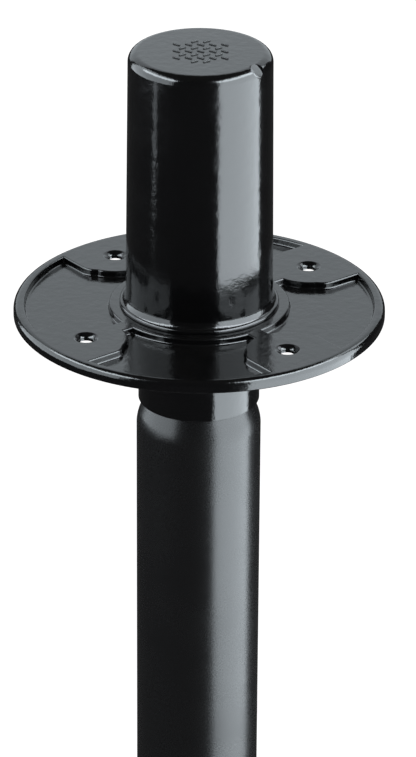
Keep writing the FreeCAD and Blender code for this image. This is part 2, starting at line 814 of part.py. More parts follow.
def cover_pivot():
    """Shouldered screw that the key cover turns on."""
    z = lock_z + cover_pivot_up
    shank = rod(cover_pivot_d / 2, (0, head_cavity_r, z), (0, 1, 0), cover_y + cover_t + 0.2 - head_cavity_r)
    cap = rod(4.2, (0, cover_y + cover_t + 0.2, z), (0, 1, 0), 1.2)
    slot = block((-5, 5), (cover_y + cover_t + 0.9, cover_y + 10), (z - 0.5, z + 0.5))
    return shank.fuse(cap).removeSplitter().cut(slot)


def cover_washer():
    """Washer between the key cover and the lock housing."""
    z = lock_z + cover_pivot_up
    start = (0, lock_pocket_y + lock_flange_t, z)
    return rod(4.0, start, (0, 1, 0), 1.0).cut(rod(cover_pivot_d / 2 + seat_gap, start, (0, 1, 0), 1.0))


# ---------------------------------------------------------------- lock, cover and pull rod

def lock_barrel():
    """Barrel turned by the key: a round well with a triangular post, and a tail for the crank."""
    outer_y = lock_pocket_y + 1.5
    body = rod(lock_barrel_r, (0, lock_inner_y - free_gap + 0.3, lock_z), (0, 1, 0), outer_y - lock_inner_y)
    tail = rod(crank_tail_d / 2, (0, crank_disc_y + 0.5, lock_z), (0, 1, 0), lock_inner_y - crank_disc_y)
    well = rod(key_well_r, (0, outer_y - key_well_depth, lock_z), (0, 1, 0), key_well_depth + 1)
    corners = []
    for turn in (90, 210, 330):
        x, z = arc_mid((0, lock_z), key_post_r, turn)
        corners.append(V(x, outer_y - key_well_depth, z))
    face = Part.Face(Part.makePolygon(corners + [corners[0]]))
    key_post = face.extrude(V(0, key_well_depth - 1, 0))
    return body.fuse(tail).cut(well).fuse(key_post).removeSplitter()


def crank_disc():
    """Disc on the barrel's tail, with the pin that works the yoke."""
    plate = rod(crank_disc_r, (0, crank_disc_y, lock_z), (0, 1, 0), crank_disc_t)
    hole = rod(crank_tail_d / 2 + seat_gap, (0, crank_disc_y - 1, lock_z), (0, 1, 0), crank_disc_t + 2)
    start = (crank_up, crank_disc_y - crank_pin_l, lock_z + crank_up)
    pin = rod(crank_pin_d / 2, start, (0, 1, 0), crank_pin_l + 1)
    return plate.cut(hole).fuse(pin).removeSplitter()


def lock_cover():
    """Round flap that hangs over the key well."""
    plate = rod(cover_r, (0, cover_y, lock_z), (0, 1, 0), cover_t)
    ear = rod(5.5, (0, cover_y, lock_z + cover_pivot_up), (0, 1, 0), cover_t)
    web = block((-5.5, 5.5), (cover_y, cover_y + cover_t), (lock_z, lock_z + cover_pivot_up))
    hole = rod(cover_pivot_d / 2 + run_gap, (0, 0, lock_z + cover_pivot_up), (0, 1, 0), 80)
    return plate.multiFuse([ear, web]).removeSplitter().cut(hole)


def pull_rod():
    """Rod from the yoke down to the cam plate."""
    return disc(rod_d / 2, latch_z + bolt_throw + cam_margin + slot_half, yoke_z + 22)


def rod_yoke():
    """Block on the pull rod with the slot that the crank pin runs in."""
    body = block((-7, 13), (-7, yoke_front), (yoke_z - 9, yoke_z + 9))
    bore = disc(rod_d / 2 + seat_gap, yoke_z - 10, yoke_z + 10)
    half = crank_pin_d / 2 + 0.4
    slot = block((crank_up - half, crank_throw + half), (yoke_front - crank_pin_l, yoke_front + 1),
                 (yoke_z - half, yoke_z + half))
    return cut_all(body, [bore, slot])


def rod_nuts():
    """Nuts above and below the yoke."""
    bore = disc(rod_d / 2 + seat_gap, yoke_z - 40, yoke_z + 40)
    above = hex_prism(nut_af, yoke_z + 9, yoke_z + 9 + nut_h)
    below = hex_prism(nut_af, yoke_z - 9 - nut_h, yoke_z - 9)
    return [above.cut(bore), below.cut(bore)]


def cam_plate():
    """Plate with two sloping slots that drives both bolts out as it goes down."""
    low = latch_z - slot_half - cam_margin
    high = latch_z + bolt_throw + slot_half + cam_margin
    plate = block((-cam_half, cam_half), (-cam_t / 2, cam_t / 2), (low, high))
    cutters = []
    for side in (-1, 1):
        for index in (0, 1):
            start = (side * (latch_pin_x + index * bolt_throw), -cam_t, latch_z + index * bolt_throw)
            cutters.append(rod(slot_half, start, (0, 1, 0), 2 * cam_t))
        run = bolt_throw * math.sqrt(2)
        bar = block((0, run), (-cam_t, cam_t), (-slot_half, slot_half))
        bar.rotate(V(0, 0, 0), AXIS_Y, -45 if side > 0 else -135)
        bar.translate(V(side * latch_pin_x, 0, latch_z))
        cutters.append(bar)
    return cut_all(plate, cutters)


def latch_bolt(side):
    """Latch bolt with a fork that straddles the cam plate."""
    body = rod(bolt_r, (bolt_inner, 0, latch_z), (1, 0, 0), bolt_tip - bolt_inner)
    tip = [edge for edge in body.Edges if edge.BoundBox.XMin > bolt_tip - 0.1]
    body = body.makeChamfer(1.0, tip)
    half = cam_t / 2 + free_gap
    fork = block((bolt_inner - 1, bolt_root), (-half, half), (latch_z - bolt_d, latch_z + bolt_d))
    pin_hole = rod(latch_pin_d / 2 + seat_gap, (latch_pin_x, -bolt_d, latch_z), (0, 1, 0), 2 * bolt_d)
    bolt = cut_all(body, [fork, pin_hole])
    return turned(bolt, 0 if side > 0 else 180)


def latch_pin(side):
    """Cross pin of a latch bolt."""
    return rod(latch_pin_d / 2, (side * latch_pin_x, -bolt_r + 0.8, latch_z), (0, 1, 0), bolt_d - 1.6)


# ---------------------------------------------------------------- write every node

os.makedirs("parts", exist_ok=True)

save("cover_flange", cover_flange())
save("ground_tube", ground_tube())
save("base_plate", base_plate())
save("upper_guide_bush", upper_guide_bush())
save("bush_circlip", bush_circlip())
save("wiper_seal", wiper_seal())
save("stop_buffer", stop_buffer())
save("keeper_blocks", keeper_blocks())
save("anti_turn_rail", anti_turn_rail())
save("gas_lower_bracket", gas_lower_bracket())
save("gas_lower_pin", gas_pin(gas_pin_low))
save("gas_lower_clips", gas_pin_clips(gas_pin_low))
save("gas_rod", gas_rod())
save("gas_piston", gas_piston())

save("head_casting", head_casting())
save("shoulder_plug", shoulder_plug())
save("inner_post", inner_post())
save("post_flange", post_flange())
save("head_screws", head_screws())
save("centering_ring", centering_ring())
save("foot_gasket", foot_gasket())
save("lower_guide_ring", lower_guide_ring())
save("post_end_plate", post_end_plate())
save("latch_carrier", latch_carrier())
save("carrier_screws", side_screws(latch_z, 4, 45))
save("gas_cylinder", gas_cylinder())
save("gas_rod_guide", gas_rod_guide())
save("gas_upper_bracket", gas_upper_bracket())
save("bracket_screws", side_screws(bracket_low + bracket_t / 2, 3, 30))
save("gas_upper_pin", gas_pin(gas_pin_high))
save("gas_upper_clips", gas_pin_clips(gas_pin_high))
save("rod_guide_plate", rod_guide_plate())
save("guide_plate_screws", side_screws(-rod_guide_t / 2, 3, 30))
save("lock_housing", lock_housing())
save("cover_pivot", cover_pivot())
save("cover_washer", cover_washer())

save("lock_barrel", lock_barrel())
save("crank_disc", crank_disc())
save("lock_cover", lock_cover())
save("pull_rod", pull_rod())
save("rod_yoke", rod_yoke())
save("rod_nuts", rod_nuts())
save("cam_plate", cam_plate())
save("latch_bolt_right", latch_bolt(1))
save("latch_pin_right", latch_pin(1))
save("latch_bolt_left", latch_bolt(-1))
save("latch_pin_left", latch_pin(-1))
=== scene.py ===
# %% [markdown]
# # A retractable bollard
# This lesson dresses a street bollard whose post sinks into a buried tube. A glossy black head stands
# on a round anchor flange, and a satin black tube hangs below it in the ground. The engineering model
# comes first: it fixes every size and every joint, and the pieces made here are laid exactly over it.

# %% Load the frame
import json
import math

import bmesh
import bpy
from mathutils import Matrix, Vector


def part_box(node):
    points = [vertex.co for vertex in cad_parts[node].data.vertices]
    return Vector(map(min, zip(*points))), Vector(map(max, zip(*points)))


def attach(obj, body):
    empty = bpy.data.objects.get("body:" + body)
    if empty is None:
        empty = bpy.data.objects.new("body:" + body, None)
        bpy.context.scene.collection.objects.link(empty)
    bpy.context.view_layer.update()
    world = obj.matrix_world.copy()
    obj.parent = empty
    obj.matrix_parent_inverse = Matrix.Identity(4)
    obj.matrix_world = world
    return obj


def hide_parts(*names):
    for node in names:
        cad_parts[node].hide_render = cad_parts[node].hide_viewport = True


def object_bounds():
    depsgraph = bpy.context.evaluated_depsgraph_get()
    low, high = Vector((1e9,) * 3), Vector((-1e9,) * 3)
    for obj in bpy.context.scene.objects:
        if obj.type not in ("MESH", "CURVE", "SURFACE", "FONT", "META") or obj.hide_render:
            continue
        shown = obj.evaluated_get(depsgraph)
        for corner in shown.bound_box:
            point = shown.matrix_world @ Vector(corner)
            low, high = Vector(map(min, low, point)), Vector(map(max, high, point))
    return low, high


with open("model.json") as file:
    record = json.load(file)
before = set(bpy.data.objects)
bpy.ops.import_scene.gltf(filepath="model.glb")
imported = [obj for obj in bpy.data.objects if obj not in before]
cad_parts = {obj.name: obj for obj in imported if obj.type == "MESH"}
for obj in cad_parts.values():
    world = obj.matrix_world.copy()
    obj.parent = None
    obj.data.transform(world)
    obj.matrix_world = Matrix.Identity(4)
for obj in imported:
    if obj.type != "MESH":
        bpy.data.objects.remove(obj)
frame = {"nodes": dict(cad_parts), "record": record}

cad_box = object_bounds()
MM = 0.001


# %% [markdown]
# ## Camera
# The bollard is seen from above the front at about 26 degrees, from far away with a long lens, so that
# its sides stay parallel. The camera is placed by the point it looks at, its distance and two angles.
# A third of a degree of roll is part of the view, and is a turn about the camera's own axis.

# %% Camera
LOOK_AT = Vector((7.43, 0.0, -59.4)) * MM
CAMERA_DISTANCE = 3.51055
CAMERA_RISE = math.radians(25.8775)
CAMERA_YAW = math.radians(-0.1353)
CAMERA_ROLL = math.radians(0.3632)
LENS = 205.09
SENSOR = 36.0


def stand_camera():
    """The camera, aimed along a line that rises from the front."""
    back = Vector((math.sin(CAMERA_YAW) * math.cos(CAMERA_RISE),
                   -math.cos(CAMERA_YAW) * math.cos(CAMERA_RISE),
                   math.sin(CAMERA_RISE)))
    data = bpy.data.cameras.new("front_camera")
    data.lens = LENS
    data.sensor_width = SENSOR
    data.clip_end = 60.0
    camera = bpy.data.objects.new("front_camera", data)
    bpy.context.scene.collection.objects.link(camera)
    turn = (-back).to_track_quat("-Z", "Y").to_matrix().to_4x4()
    place = Matrix.Translation(LOOK_AT + back * CAMERA_DISTANCE)
    camera.matrix_world = place @ turn @ Matrix.Rotation(CAMERA_ROLL, 4, "Z")
    bpy.context.scene.camera = camera
    return camera


camera = stand_camera()
print("camera at", [round(c, 3) for c in camera.matrix_world.translation])


# %% [markdown]
# ## Floor and studio light
# Black enamel has almost no colour of its own: what is seen is the reflection of the lamps. So the
# lamps are laid out like a product studio. A tall soft box at the right makes the broad band on the
# head and the tube. The wide box at the left stands higher, so that it lights only what leans upwards
# on that side, and a small one under it draws a thin line. Two bright strips overhead catch the
# rounded edges, and a wide box behind lifts the flat faces to grey. The lamps light reflections only;
# the soft diffuse light comes from the world. The pale floor is left out of reflections.

# %% Floor
FLOOR_SIZE = 40.0
FLOOR_COLOUR = (0.92, 0.92, 0.92, 1)
FLOOR_GLOW = 0.75


def lay_floor(height):
    """A plain pale floor with a soft matt finish."""
    bm = bmesh.new()
    bmesh.ops.create_grid(bm, x_segments=2, y_segments=2, size=FLOOR_SIZE / 2)
    bmesh.ops.translate(bm, verts=bm.verts, vec=(0, 0, height))
    mesh = bpy.data.meshes.new("floor")
    bm.to_mesh(mesh)
    bm.free()
    floor = bpy.data.objects.new("floor", mesh)
    bpy.context.scene.collection.objects.link(floor)
    material = bpy.data.materials.new("pale_floor")
    material.use_nodes = True
    shader = material.node_tree.nodes["Principled BSDF"]
    shader.inputs["Base Color"].default_value = FLOOR_COLOUR
    shader.inputs["Roughness"].default_value = 1.0
    shader.inputs["Specular IOR Level"].default_value = 0.0
    shader.inputs["Emission Color"].default_value = (1, 1, 1, 1)
    shader.inputs["Emission Strength"].default_value = FLOOR_GLOW
    mesh.materials.append(material)
    floor.visible_glossy = False
    floor.visible_shadow = False


lay_floor(cad_box[0][2])
print("floor at", round(cad_box[0][2], 4), "m")


# %% Lamps
LAMP_TINT = (0.91, 1.0, 1.06)


def soft_box(name, azimuth, rise, distance, size, power, aim):
    """A rectangular lamp on a sphere round the aim point, facing it. Power is in watts."""
    az, el = math.radians(azimuth), math.radians(rise)
    away = Vector((math.cos(az) * math.cos(el), math.sin(az) * math.cos(el), math.sin(el)))
    lamp = bpy.data.lights.new(name, "AREA")
    lamp.shape = "RECTANGLE"
    lamp.size, lamp.size_y = size
    lamp.energy = power
    lamp.color = LAMP_TINT
    holder = bpy.data.objects.new(name, lamp)
    bpy.context.scene.collection.objects.link(holder)
    turn = away.to_track_quat("Z", "Y").to_matrix().to_4x4()
    holder.matrix_world = Matrix.Translation(Vector(aim) + away * distance) @ turn
    holder.visible_camera = False
    holder.visible_diffuse = False


def box_power(size, radiance):
    """Watts that give a rectangular lamp this brightness to the eye."""
    return radiance * math.pi * size[0] * size[1]


LAMPS = [
    # name, azimuth and rise in degrees, distance and size in metres, brightness, point aimed at
    ("right_wall", -23.0, 0.0, 1.35, (2.12, 3.5), 6.4, (0, 0, 0.40)),
    ("right_bright", -22.0, 45.0, 1.3, (1.5, 0.32), 7.0, (0, 0, 0.1)),
    ("right_high", 31.0, 36.0, 1.5, (0.5, 0.7), 3.5, (0, 0, 0.1)),
    ("left_wall", 182.0, 0.0, 1.6, (3.0, 2.6), 3.2, (0, 0, 1.02)),
    ("left_bright", 192.0, 42.0, 1.4, (1.5, 0.32), 8.0, (0, 0, 0.1)),
    ("left_line", 195.6, 0.0, 1.5, (0.16, 0.20), 1.7, (0, 0, -0.36)),
    ("back_sky", 90.0, 26.0, 1.5, (2.4, 1.3), 1.05, (0, 0, 0.12)),
]
for name, azimuth, rise, distance, size, bright, aim in LAMPS:
    soft_box(name, azimuth, rise, distance, size, box_power(size, bright), aim)
print("lamps:", len(LAMPS))


# %% World
def studio_world(seen, reflected, diffuse):
    """White behind the object, dark in its reflections, soft grey for diffuse light."""
    world = bpy.data.worlds.new("studio")
    bpy.context.scene.world = world
    world.use_nodes = True
    tree = world.node_tree
    sky = tree.nodes["Background"]
    paths = tree.nodes.new("ShaderNodeLightPath")
    first = tree.nodes.new("ShaderNodeMix")
    first.data_type = "FLOAT"
    first.inputs[2].default_value = diffuse
    first.inputs[3].default_value = reflected
    tree.links.new(paths.outputs["Is Glossy Ray"], first.inputs[0])
    second = tree.nodes.new("ShaderNodeMix")
    second.data_type = "FLOAT"
    second.inputs[3].default_value = seen
    tree.links.new(paths.outputs["Is Camera Ray"], second.inputs[0])
    tree.links.new(first.outputs[0], second.inputs[2])
    tree.links.new(second.outputs[0], sky.inputs["Strength"])
    sky.inputs["Color"].default_value = (1, 1, 1, 1)


studio_world(seen=1.0, reflected=0.04, diffuse=0.4)
bpy.context.scene.view_settings.view_transform = "Standard"
print("world ready")


# %% [markdown]
# ## Shared surface effects
# Each effect that several finishes use is one node group, built once, with its sizes as inputs. They
# read Object coordinates, which are metres on every piece here, so one number means one real length.

# %% Node helpers
def new_group(name, inputs, outputs):
    """An empty node group with number inputs (name, value) and named number outputs."""
    group = bpy.data.node_groups.new(name, "ShaderNodeTree")
    for label, value in inputs:
        socket = group.interface.new_socket(label, in_out="INPUT", socket_type="NodeSocketFloat")
        socket.default_value = value
    for label in outputs:
        group.interface.new_socket(label, in_out="OUTPUT", socket_type="NodeSocketFloat")
    start = group.nodes.new("NodeGroupInput")
    end = group.nodes.new("NodeGroupOutput")
    return group, start, end


def math_node(tree, operation, first, second=None, clamp=False):
    """A Math node; its two inputs are sockets or plain numbers."""
    node = tree.nodes.new("ShaderNodeMath")
    node.operation = operation
    node.use_clamp = clamp
    for index, value in enumerate((first, second)):
        if value is None:
            continue
        if isinstance(value, (int, float)):
            node.inputs[index].default_value = value
        else:
            tree.links.new(value, node.inputs[index])
    return node.outputs[0]


def noise_of_size(tree, size, detail=2.0, stretch=None):
    """Noise whose features are about size metres; size is a socket. Gives the value socket."""
    coordinates = tree.nodes.new("ShaderNodeTexCoord").outputs["Object"]
    if stretch:
        mapping = tree.nodes.new("ShaderNodeMapping")
        mapping.inputs["Scale"].default_value = stretch
        tree.links.new(coordinates, mapping.inputs["Vector"])
        coordinates = mapping.outputs[0]
    noise = tree.nodes.new("ShaderNodeTexNoise")
    noise.inputs["Detail"].default_value = detail
    tree.links.new(coordinates, noise.inputs["Vector"])
    tree.links.new(math_node(tree, "DIVIDE", 1.0, size), noise.inputs["Scale"])
    return noise.outputs["Fac"]


def remap(tree, value, low, high, to_low, to_high):
    """Stretches a value from one range to another; to_low and to_high may be sockets."""
    node = tree.nodes.new("ShaderNodeMapRange")
    tree.links.new(value, node.inputs["Value"])
    for label, number in (("From Min", low), ("From Max", high), ("To Min", to_low), ("To Max", to_high)):
        if isinstance(number, (int, float)):
            node.inputs[label].default_value = number
        else:
            tree.links.new(number, node.inputs[label])
    return node.outputs[0]


# %% [markdown]
# Thick stove enamel on a casting never dries dead flat. It keeps slow waves a centimetre or two long,
# left by the casting under it, and a fine orange peel a millimetre or two across.

# %% Enamel skin
def build_enamel_skin():
    group, start, end = new_group(
        "enamel_skin", [("Wave Size", 0.02), ("Peel Size", 0.0018), ("Peel Share", 0.1)], ["Height"])
    wave = noise_of_size(group, start.outputs["Wave Size"], 1.0)
    peel = noise_of_size(group, start.outputs["Peel Size"], 1.0)
    small = math_node(group, "MULTIPLY", peel, start.outputs["Peel Share"])
    group.links.new(math_node(group, "ADD", wave, small), end.inputs["Height"])
    return group


# %% [markdown]
# Dry, fine specks in a coat of paint scatter the light a little from place to place. The same group
# gives roughness its uneven values on every finish: a cloudy part and a fine part.

# %% Uneven gloss
def build_uneven_gloss():
    group, start, end = new_group(
        "uneven_gloss",
        [("Cloud Size", 0.05), ("Speck Size", 0.0008), ("Lowest", 0.1), ("Highest", 0.2)], ["Roughness"])
    cloud = noise_of_size(group, start.outputs["Cloud Size"], 3.0)
    speck = noise_of_size(group, start.outputs["Speck Size"], 1.0)
    large = math_node(group, "MULTIPLY", cloud, 0.65)
    small = math_node(group, "MULTIPLY", speck, 0.35)
    both = math_node(group, "ADD", large, small)
    rough = remap(group, both, 0.3, 0.7, start.outputs["Lowest"], start.outputs["Highest"])
    group.links.new(rough, end.inputs["Roughness"])
    return group


# %% [markdown]
# Edges and corners are rubbed first. The Bevel node rounds the normal near an edge, so where it
# differs from the true normal there is an edge, whatever the mesh is like.

# %% Worn edges
def build_worn_edges():
    group, start, end = new_group(
        "worn_edges", [("Width", 0.001), ("Patch Size", 0.006), ("Amount", 1.0)], ["Mask"])
    bevel = group.nodes.new("ShaderNodeBevel")
    bevel.samples = 4
    group.links.new(start.outputs["Width"], bevel.inputs["Radius"])
    true_normal = group.nodes.new("ShaderNodeNewGeometry").outputs["Normal"]
    dot = group.nodes.new("ShaderNodeVectorMath")
    dot.operation = "DOT_PRODUCT"
    group.links.new(bevel.outputs[0], dot.inputs[0])
    group.links.new(true_normal, dot.inputs[1])
    edge = remap(group, dot.outputs["Value"], 0.995, 0.90, 0.0, 1.0)
    patches = remap(group, noise_of_size(group, start.outputs["Patch Size"], 4.0), 0.42, 0.62, 0.0, 1.0)
    mask = math_node(group, "MULTIPLY", edge, patches)
    mask = math_node(group, "MULTIPLY", mask, start.outputs["Amount"], clamp=True)
    group.links.new(mask, end.inputs["Mask"])
    return group


# %% [markdown]
# Dust settles on what faces up. The mask is the upward part of the normal, broken up by noise.

# %% Settled dust
def build_settled_dust():
    group, start, end = new_group("settled_dust", [("Patch Size", 0.03), ("Amount", 0.1)], ["Mask"])
    split = group.nodes.new("ShaderNodeSeparateXYZ")
    group.links.new(group.nodes.new("ShaderNodeNewGeometry").outputs["Normal"], split.inputs[0])
    up = remap(group, split.outputs["Z"], 0.55, 1.0, 0.0, 1.0)
    patches = remap(group, noise_of_size(group, start.outputs["Patch Size"], 6.0), 0.3, 0.75, 0.2, 1.0)
    mask = math_node(group, "MULTIPLY", up, patches)
    mask = math_node(group, "MULTIPLY", mask, start.outputs["Amount"], clamp=True)
    group.links.new(mask, end.inputs["Mask"])
    return group


# %% [markdown]
# Turned and drawn steel carries fine lines along the way the tool or the die went. Noise that is
# squeezed along one axis gives them: close together across the lines, long along them.

# %% Tool lines
def build_tool_lines():
    group, start, end = new_group("tool_lines", [("Pitch", 0.0006), ("Depth", 1.0)], ["Height", "Mask"])
    lines = noise_of_size(group, start.outputs["Pitch"], 2.0, stretch=(0.02, 0.02, 1.0))
    group.links.new(math_node(group, "MULTIPLY", lines, start.outputs["Depth"]), end.inputs["Height"])
    group.links.new(remap(group, lines, 0.35, 0.65, 0.0, 1.0), end.inputs["Mask"])
    return group


# %% [markdown]
# Hot-dip zinc freezes in flat crystals, a few millimetres across, each a little lighter or darker.

# %% Zinc crystals
def build_zinc_crystals():
    group, start, end = new_group("zinc_crystals", [("Crystal Size", 0.006)], ["Shade", "Height"])
    cells = group.nodes.new("ShaderNodeTexVoronoi")
    group.links.new(group.nodes.new("ShaderNodeTexCoord").outputs["Object"], cells.inputs["Vector"])
    group.links.new(math_node(group, "DIVIDE", 1.0, start.outputs["Crystal Size"]), cells.inputs["Scale"])
    split = group.nodes.new("ShaderNodeSeparateColor")
    group.links.new(cells.outputs["Color"], split.inputs[0])
    group.links.new(split.outputs[0], end.inputs["Shade"])
    group.links.new(cells.outputs["Distance"], end.inputs["Height"])
    return group


ENAMEL_SKIN = build_enamel_skin()
UNEVEN_GLOSS = build_uneven_gloss()
WORN_EDGES = build_worn_edges()
SETTLED_DUST = build_settled_dust()
TOOL_LINES = build_tool_lines()
ZINC_CRYSTALS = build_zinc_crystals()
print("shared effects:", [group.name for group in bpy.data.node_groups])


# %% [markdown]
# ## Finishes
# A finish is one Principled shader with the shared effects plugged in. This helper starts one, and
# the small functions after it add roughness, bump and colour changes.

# %% Finish helpers
def start_finish(name, colour, metallic=0.0):
    """A new material and its shader."""
    material = bpy.data.materials.new(name)
    material.use_nodes = True
    shader = material.node_tree.nodes["Principled BSDF"]
    shader.inputs["Base Color"].default_value = (*colour, 1)
    shader.inputs["Metallic"].default_value = metallic
    return material, material.node_tree, shader


def place_group(tree, group, **values):
    """One use of a shared effect. Underscores in the names of the values stand for spaces."""
    node = tree.nodes.new("ShaderNodeGroup")
    node.node_tree = group
    for label, value in values.items():
        node.inputs[label.replace("_", " ")].default_value = value
    return node


def add_gloss(tree, shader, low, high, cloud=0.05, speck=0.0008):
    """Roughness that wanders between two values."""
    node = place_group(tree, UNEVEN_GLOSS, Cloud_Size=cloud, Speck_Size=speck, Lowest=low, Highest=high)
    tree.links.new(node.outputs["Roughness"], shader.inputs["Roughness"])


def add_bump(tree, shader, height, depth):
    """A bump of that depth in metres."""
    bump = tree.nodes.new("ShaderNodeBump")
    bump.inputs["Distance"].default_value = depth
    tree.links.new(height, bump.inputs["Height"])
    tree.links.new(bump.outputs[0], shader.inputs["Normal"])


def add_tint(tree, shader, mask, colour):
    """Mixes another colour over the base colour where the mask is 1."""
    mix = tree.nodes.new("ShaderNodeMix")
    mix.data_type = "RGBA"
    base = shader.inputs["Base Color"]
    if base.is_linked:
        tree.links.new(base.links[0].from_socket, mix.inputs[6])
    else:
        mix.inputs[6].default_value = base.default_value
    mix.inputs[7].default_value = (*colour, 1)
    tree.links.new(mask, mix.inputs[0])
    tree.links.new(mix.outputs[2], base)


# %% [markdown]
# The head and the flange have a thick, wet-looking black enamel: very low roughness, slow waves, a
# fine peel, a breath of dust on top, and grey lines where edges have been rubbed.

# %% Black enamel
DUST_COLOUR = (0.09, 0.088, 0.083)
RUBBED_COLOUR = (0.05, 0.05, 0.052)


def black_enamel():
    material, tree, shader = start_finish("black_enamel", (0.004, 0.0042, 0.0048))
    shader.inputs["IOR"].default_value = 1.53
    add_gloss(tree, shader, 0.08, 0.16, cloud=0.03, speck=0.0009)
    skin = place_group(tree, ENAMEL_SKIN, Wave_Size=0.0075, Peel_Size=0.0014, Peel_Share=0.35)
    add_bump(tree, shader, skin.outputs["Height"], 0.00018)
    dust = place_group(tree, SETTLED_DUST, Patch_Size=0.02, Amount=0.10)
    add_tint(tree, shader, dust.outputs["Mask"], DUST_COLOUR)
    rubbed = place_group(tree, WORN_EDGES, Width=0.0012, Patch_Size=0.008, Amount=0.6)
    add_tint(tree, shader, rubbed.outputs["Mask"], RUBBED_COLOUR)
    return material


# %% [markdown]
# The buried tube has a thinner, satin coat with a dry grain, so its highlight is wide and soft.

# %% Black tube coat
def black_tube_coat():
    material, tree, shader = start_finish("black_tube_coat", (0.007, 0.0072, 0.008))
    add_gloss(tree, shader, 0.23, 0.31, cloud=0.06, speck=0.0009)
    skin = place_group(tree, ENAMEL_SKIN, Wave_Size=0.03, Peel_Size=0.0011, Peel_Share=0.35)
    add_bump(tree, shader, skin.outputs["Height"], 0.00016)
    rubbed = place_group(tree, WORN_EDGES, Width=0.001, Patch_Size=0.01, Amount=0.5)
    add_tint(tree, shader, rubbed.outputs["Mask"], RUBBED_COLOUR)
    return material


# %% [markdown]
# The steels differ in colour, in roughness and in how deep the tool lines are.

# %% Steels and other finishes
def steel(name, colour, low, high, pitch=0.0006, depth=0.00002, tint=(0.25, 0.25, 0.26), amount=0.5):
    material, tree, shader = start_finish(name, colour, 1.0)
    add_gloss(tree, shader, low, high, cloud=0.02)
    lines = place_group(tree, TOOL_LINES, Pitch=pitch, Depth=1.0)
    add_bump(tree, shader, lines.outputs["Height"], depth)
    rubbed = place_group(tree, WORN_EDGES, Width=0.0006, Patch_Size=0.004, Amount=amount)
    add_tint(tree, shader, rubbed.outputs["Mask"], tint)
    return material


def galvanised_steel():
    material, tree, shader = start_finish("galvanised_steel", (0.50, 0.52, 0.53), 1.0)
    add_gloss(tree, shader, 0.32, 0.48, cloud=0.008)
    zinc = place_group(tree, ZINC_CRYSTALS, Crystal_Size=0.007)
    add_bump(tree, shader, zinc.outputs["Height"], 0.00003)
    add_tint(tree, shader, zinc.outputs["Shade"], (0.60, 0.62, 0.64))
    return material


def moulded(name, colour, low, high, grain=0.0006, depth=0.00004, worn=(0.1, 0.1, 0.1)):
    """Plastic or rubber, with a fine moulded grain."""
    material, tree, shader = start_finish(name, colour)
    add_gloss(tree, shader, low, high, cloud=0.01, speck=grain)
    skin = place_group(tree, ENAMEL_SKIN, Wave_Size=0.01, Peel_Size=grain, Peel_Share=0.4)
    add_bump(tree, shader, skin.outputs["Height"], depth)
    rubbed = place_group(tree, WORN_EDGES, Width=0.0006, Patch_Size=0.004, Amount=0.4)
    add_tint(tree, shader, rubbed.outputs["Mask"], worn)
    return material


FINISHES = {
    "black_enamel": black_enamel(),
    "black_tube_coat": black_tube_coat(),
    "plain_steel": steel("plain_steel", (0.40, 0.40, 0.41), 0.30, 0.42),
    "galvanised_steel": galvanised_steel(),
    "zinc_steel": steel("zinc_steel", (0.60, 0.61, 0.64), 0.20, 0.32, depth=0.00001),
    "spring_steel": steel("spring_steel", (0.12, 0.12, 0.13), 0.30, 0.42, depth=0.00001),
    "stainless_steel": steel("stainless_steel", (0.56, 0.55, 0.53), 0.18, 0.30, pitch=0.0003,
                             depth=0.00001),
    "hard_chrome": steel("hard_chrome", (0.75, 0.76, 0.78), 0.04, 0.08, depth=0.000002, amount=0.1),
    "cylinder_paint": moulded("cylinder_paint", (0.015, 0.015, 0.017), 0.15, 0.25),
    "brass": steel("brass", (0.62, 0.45, 0.18), 0.22, 0.34, pitch=0.0004, depth=0.00001,
                   tint=(0.75, 0.60, 0.32)),
    "white_acetal": moulded("white_acetal", (0.72, 0.71, 0.66), 0.35, 0.5, worn=(0.8, 0.8, 0.76)),
    "black_rubber": moulded("black_rubber", (0.016, 0.016, 0.016), 0.62, 0.8, depth=0.00008),
}
print("finishes:", sorted(FINISHES))


# %% Give every node of the frame its finish
def slot_of(node):
    """The material slot that the record gives a node."""
    for part in frame["record"]["subparts"]:
        if part["node"] == node:
            return part["material_slot"]
    return None


for node, piece in frame["nodes"].items():
    piece.data.materials.clear()
    piece.data.materials.append(FINISHES[slot_of(node)])
print("nodes dressed:", len(frame["nodes"]))


# %% [markdown]
# ## How round pieces are made
# Most of the bollard is turned or tubular, so each round piece starts as a wire outline of
# (radius, height) corners in millimetres. A third number rounds a corner: a vertex bevel on the wire
# turns it into an arc. Spinning the wire once round the axis then makes the whole surface at once.

# %% Outline and spin
STEPS_ROUND = 192
FINE_ROUND = 256
ARC_STEPS = 6


def trace(bm, corners, closed=False, arc_steps=ARC_STEPS):
    """A wire through (radius, height) or (radius, height, rounding) corners in the XZ plane."""
    points = [bm.verts.new((c[0], 0.0, c[1])) for c in corners]
    pairs = list(zip(points, points[1:]))
    if closed:
        pairs.append((points[-1], points[0]))
    for first, second in pairs:
        bm.edges.new((first, second))
    for point, corner in zip(points, corners):
        if len(corner) > 2:
            bmesh.ops.bevel(bm, geom=[point], offset=corner[2], offset_type="OFFSET", affect="VERTICES",
                            segments=arc_steps, profile=0.5, material=-1)


def spin_round(bm, steps=STEPS_ROUND):
    """Spins everything in the mesh once round the Z axis and closes it."""
    bmesh.ops.spin(bm, geom=bm.verts[:] + bm.edges[:], cent=(0, 0, 0), axis=(0, 0, 1), dvec=(0, 0, 0),
                   angle=2 * math.pi, steps=steps, use_merge=True, use_duplicate=False)
    bmesh.ops.remove_doubles(bm, verts=bm.verts, dist=1e-4)
    bmesh.ops.recalc_face_normals(bm, faces=bm.faces)


def turned_bmesh(corners, closed=True, steps=STEPS_ROUND):
    """A turned shape from one outline."""
    bm = bmesh.new()
    trace(bm, corners, closed)
    spin_round(bm, steps)
    return bm


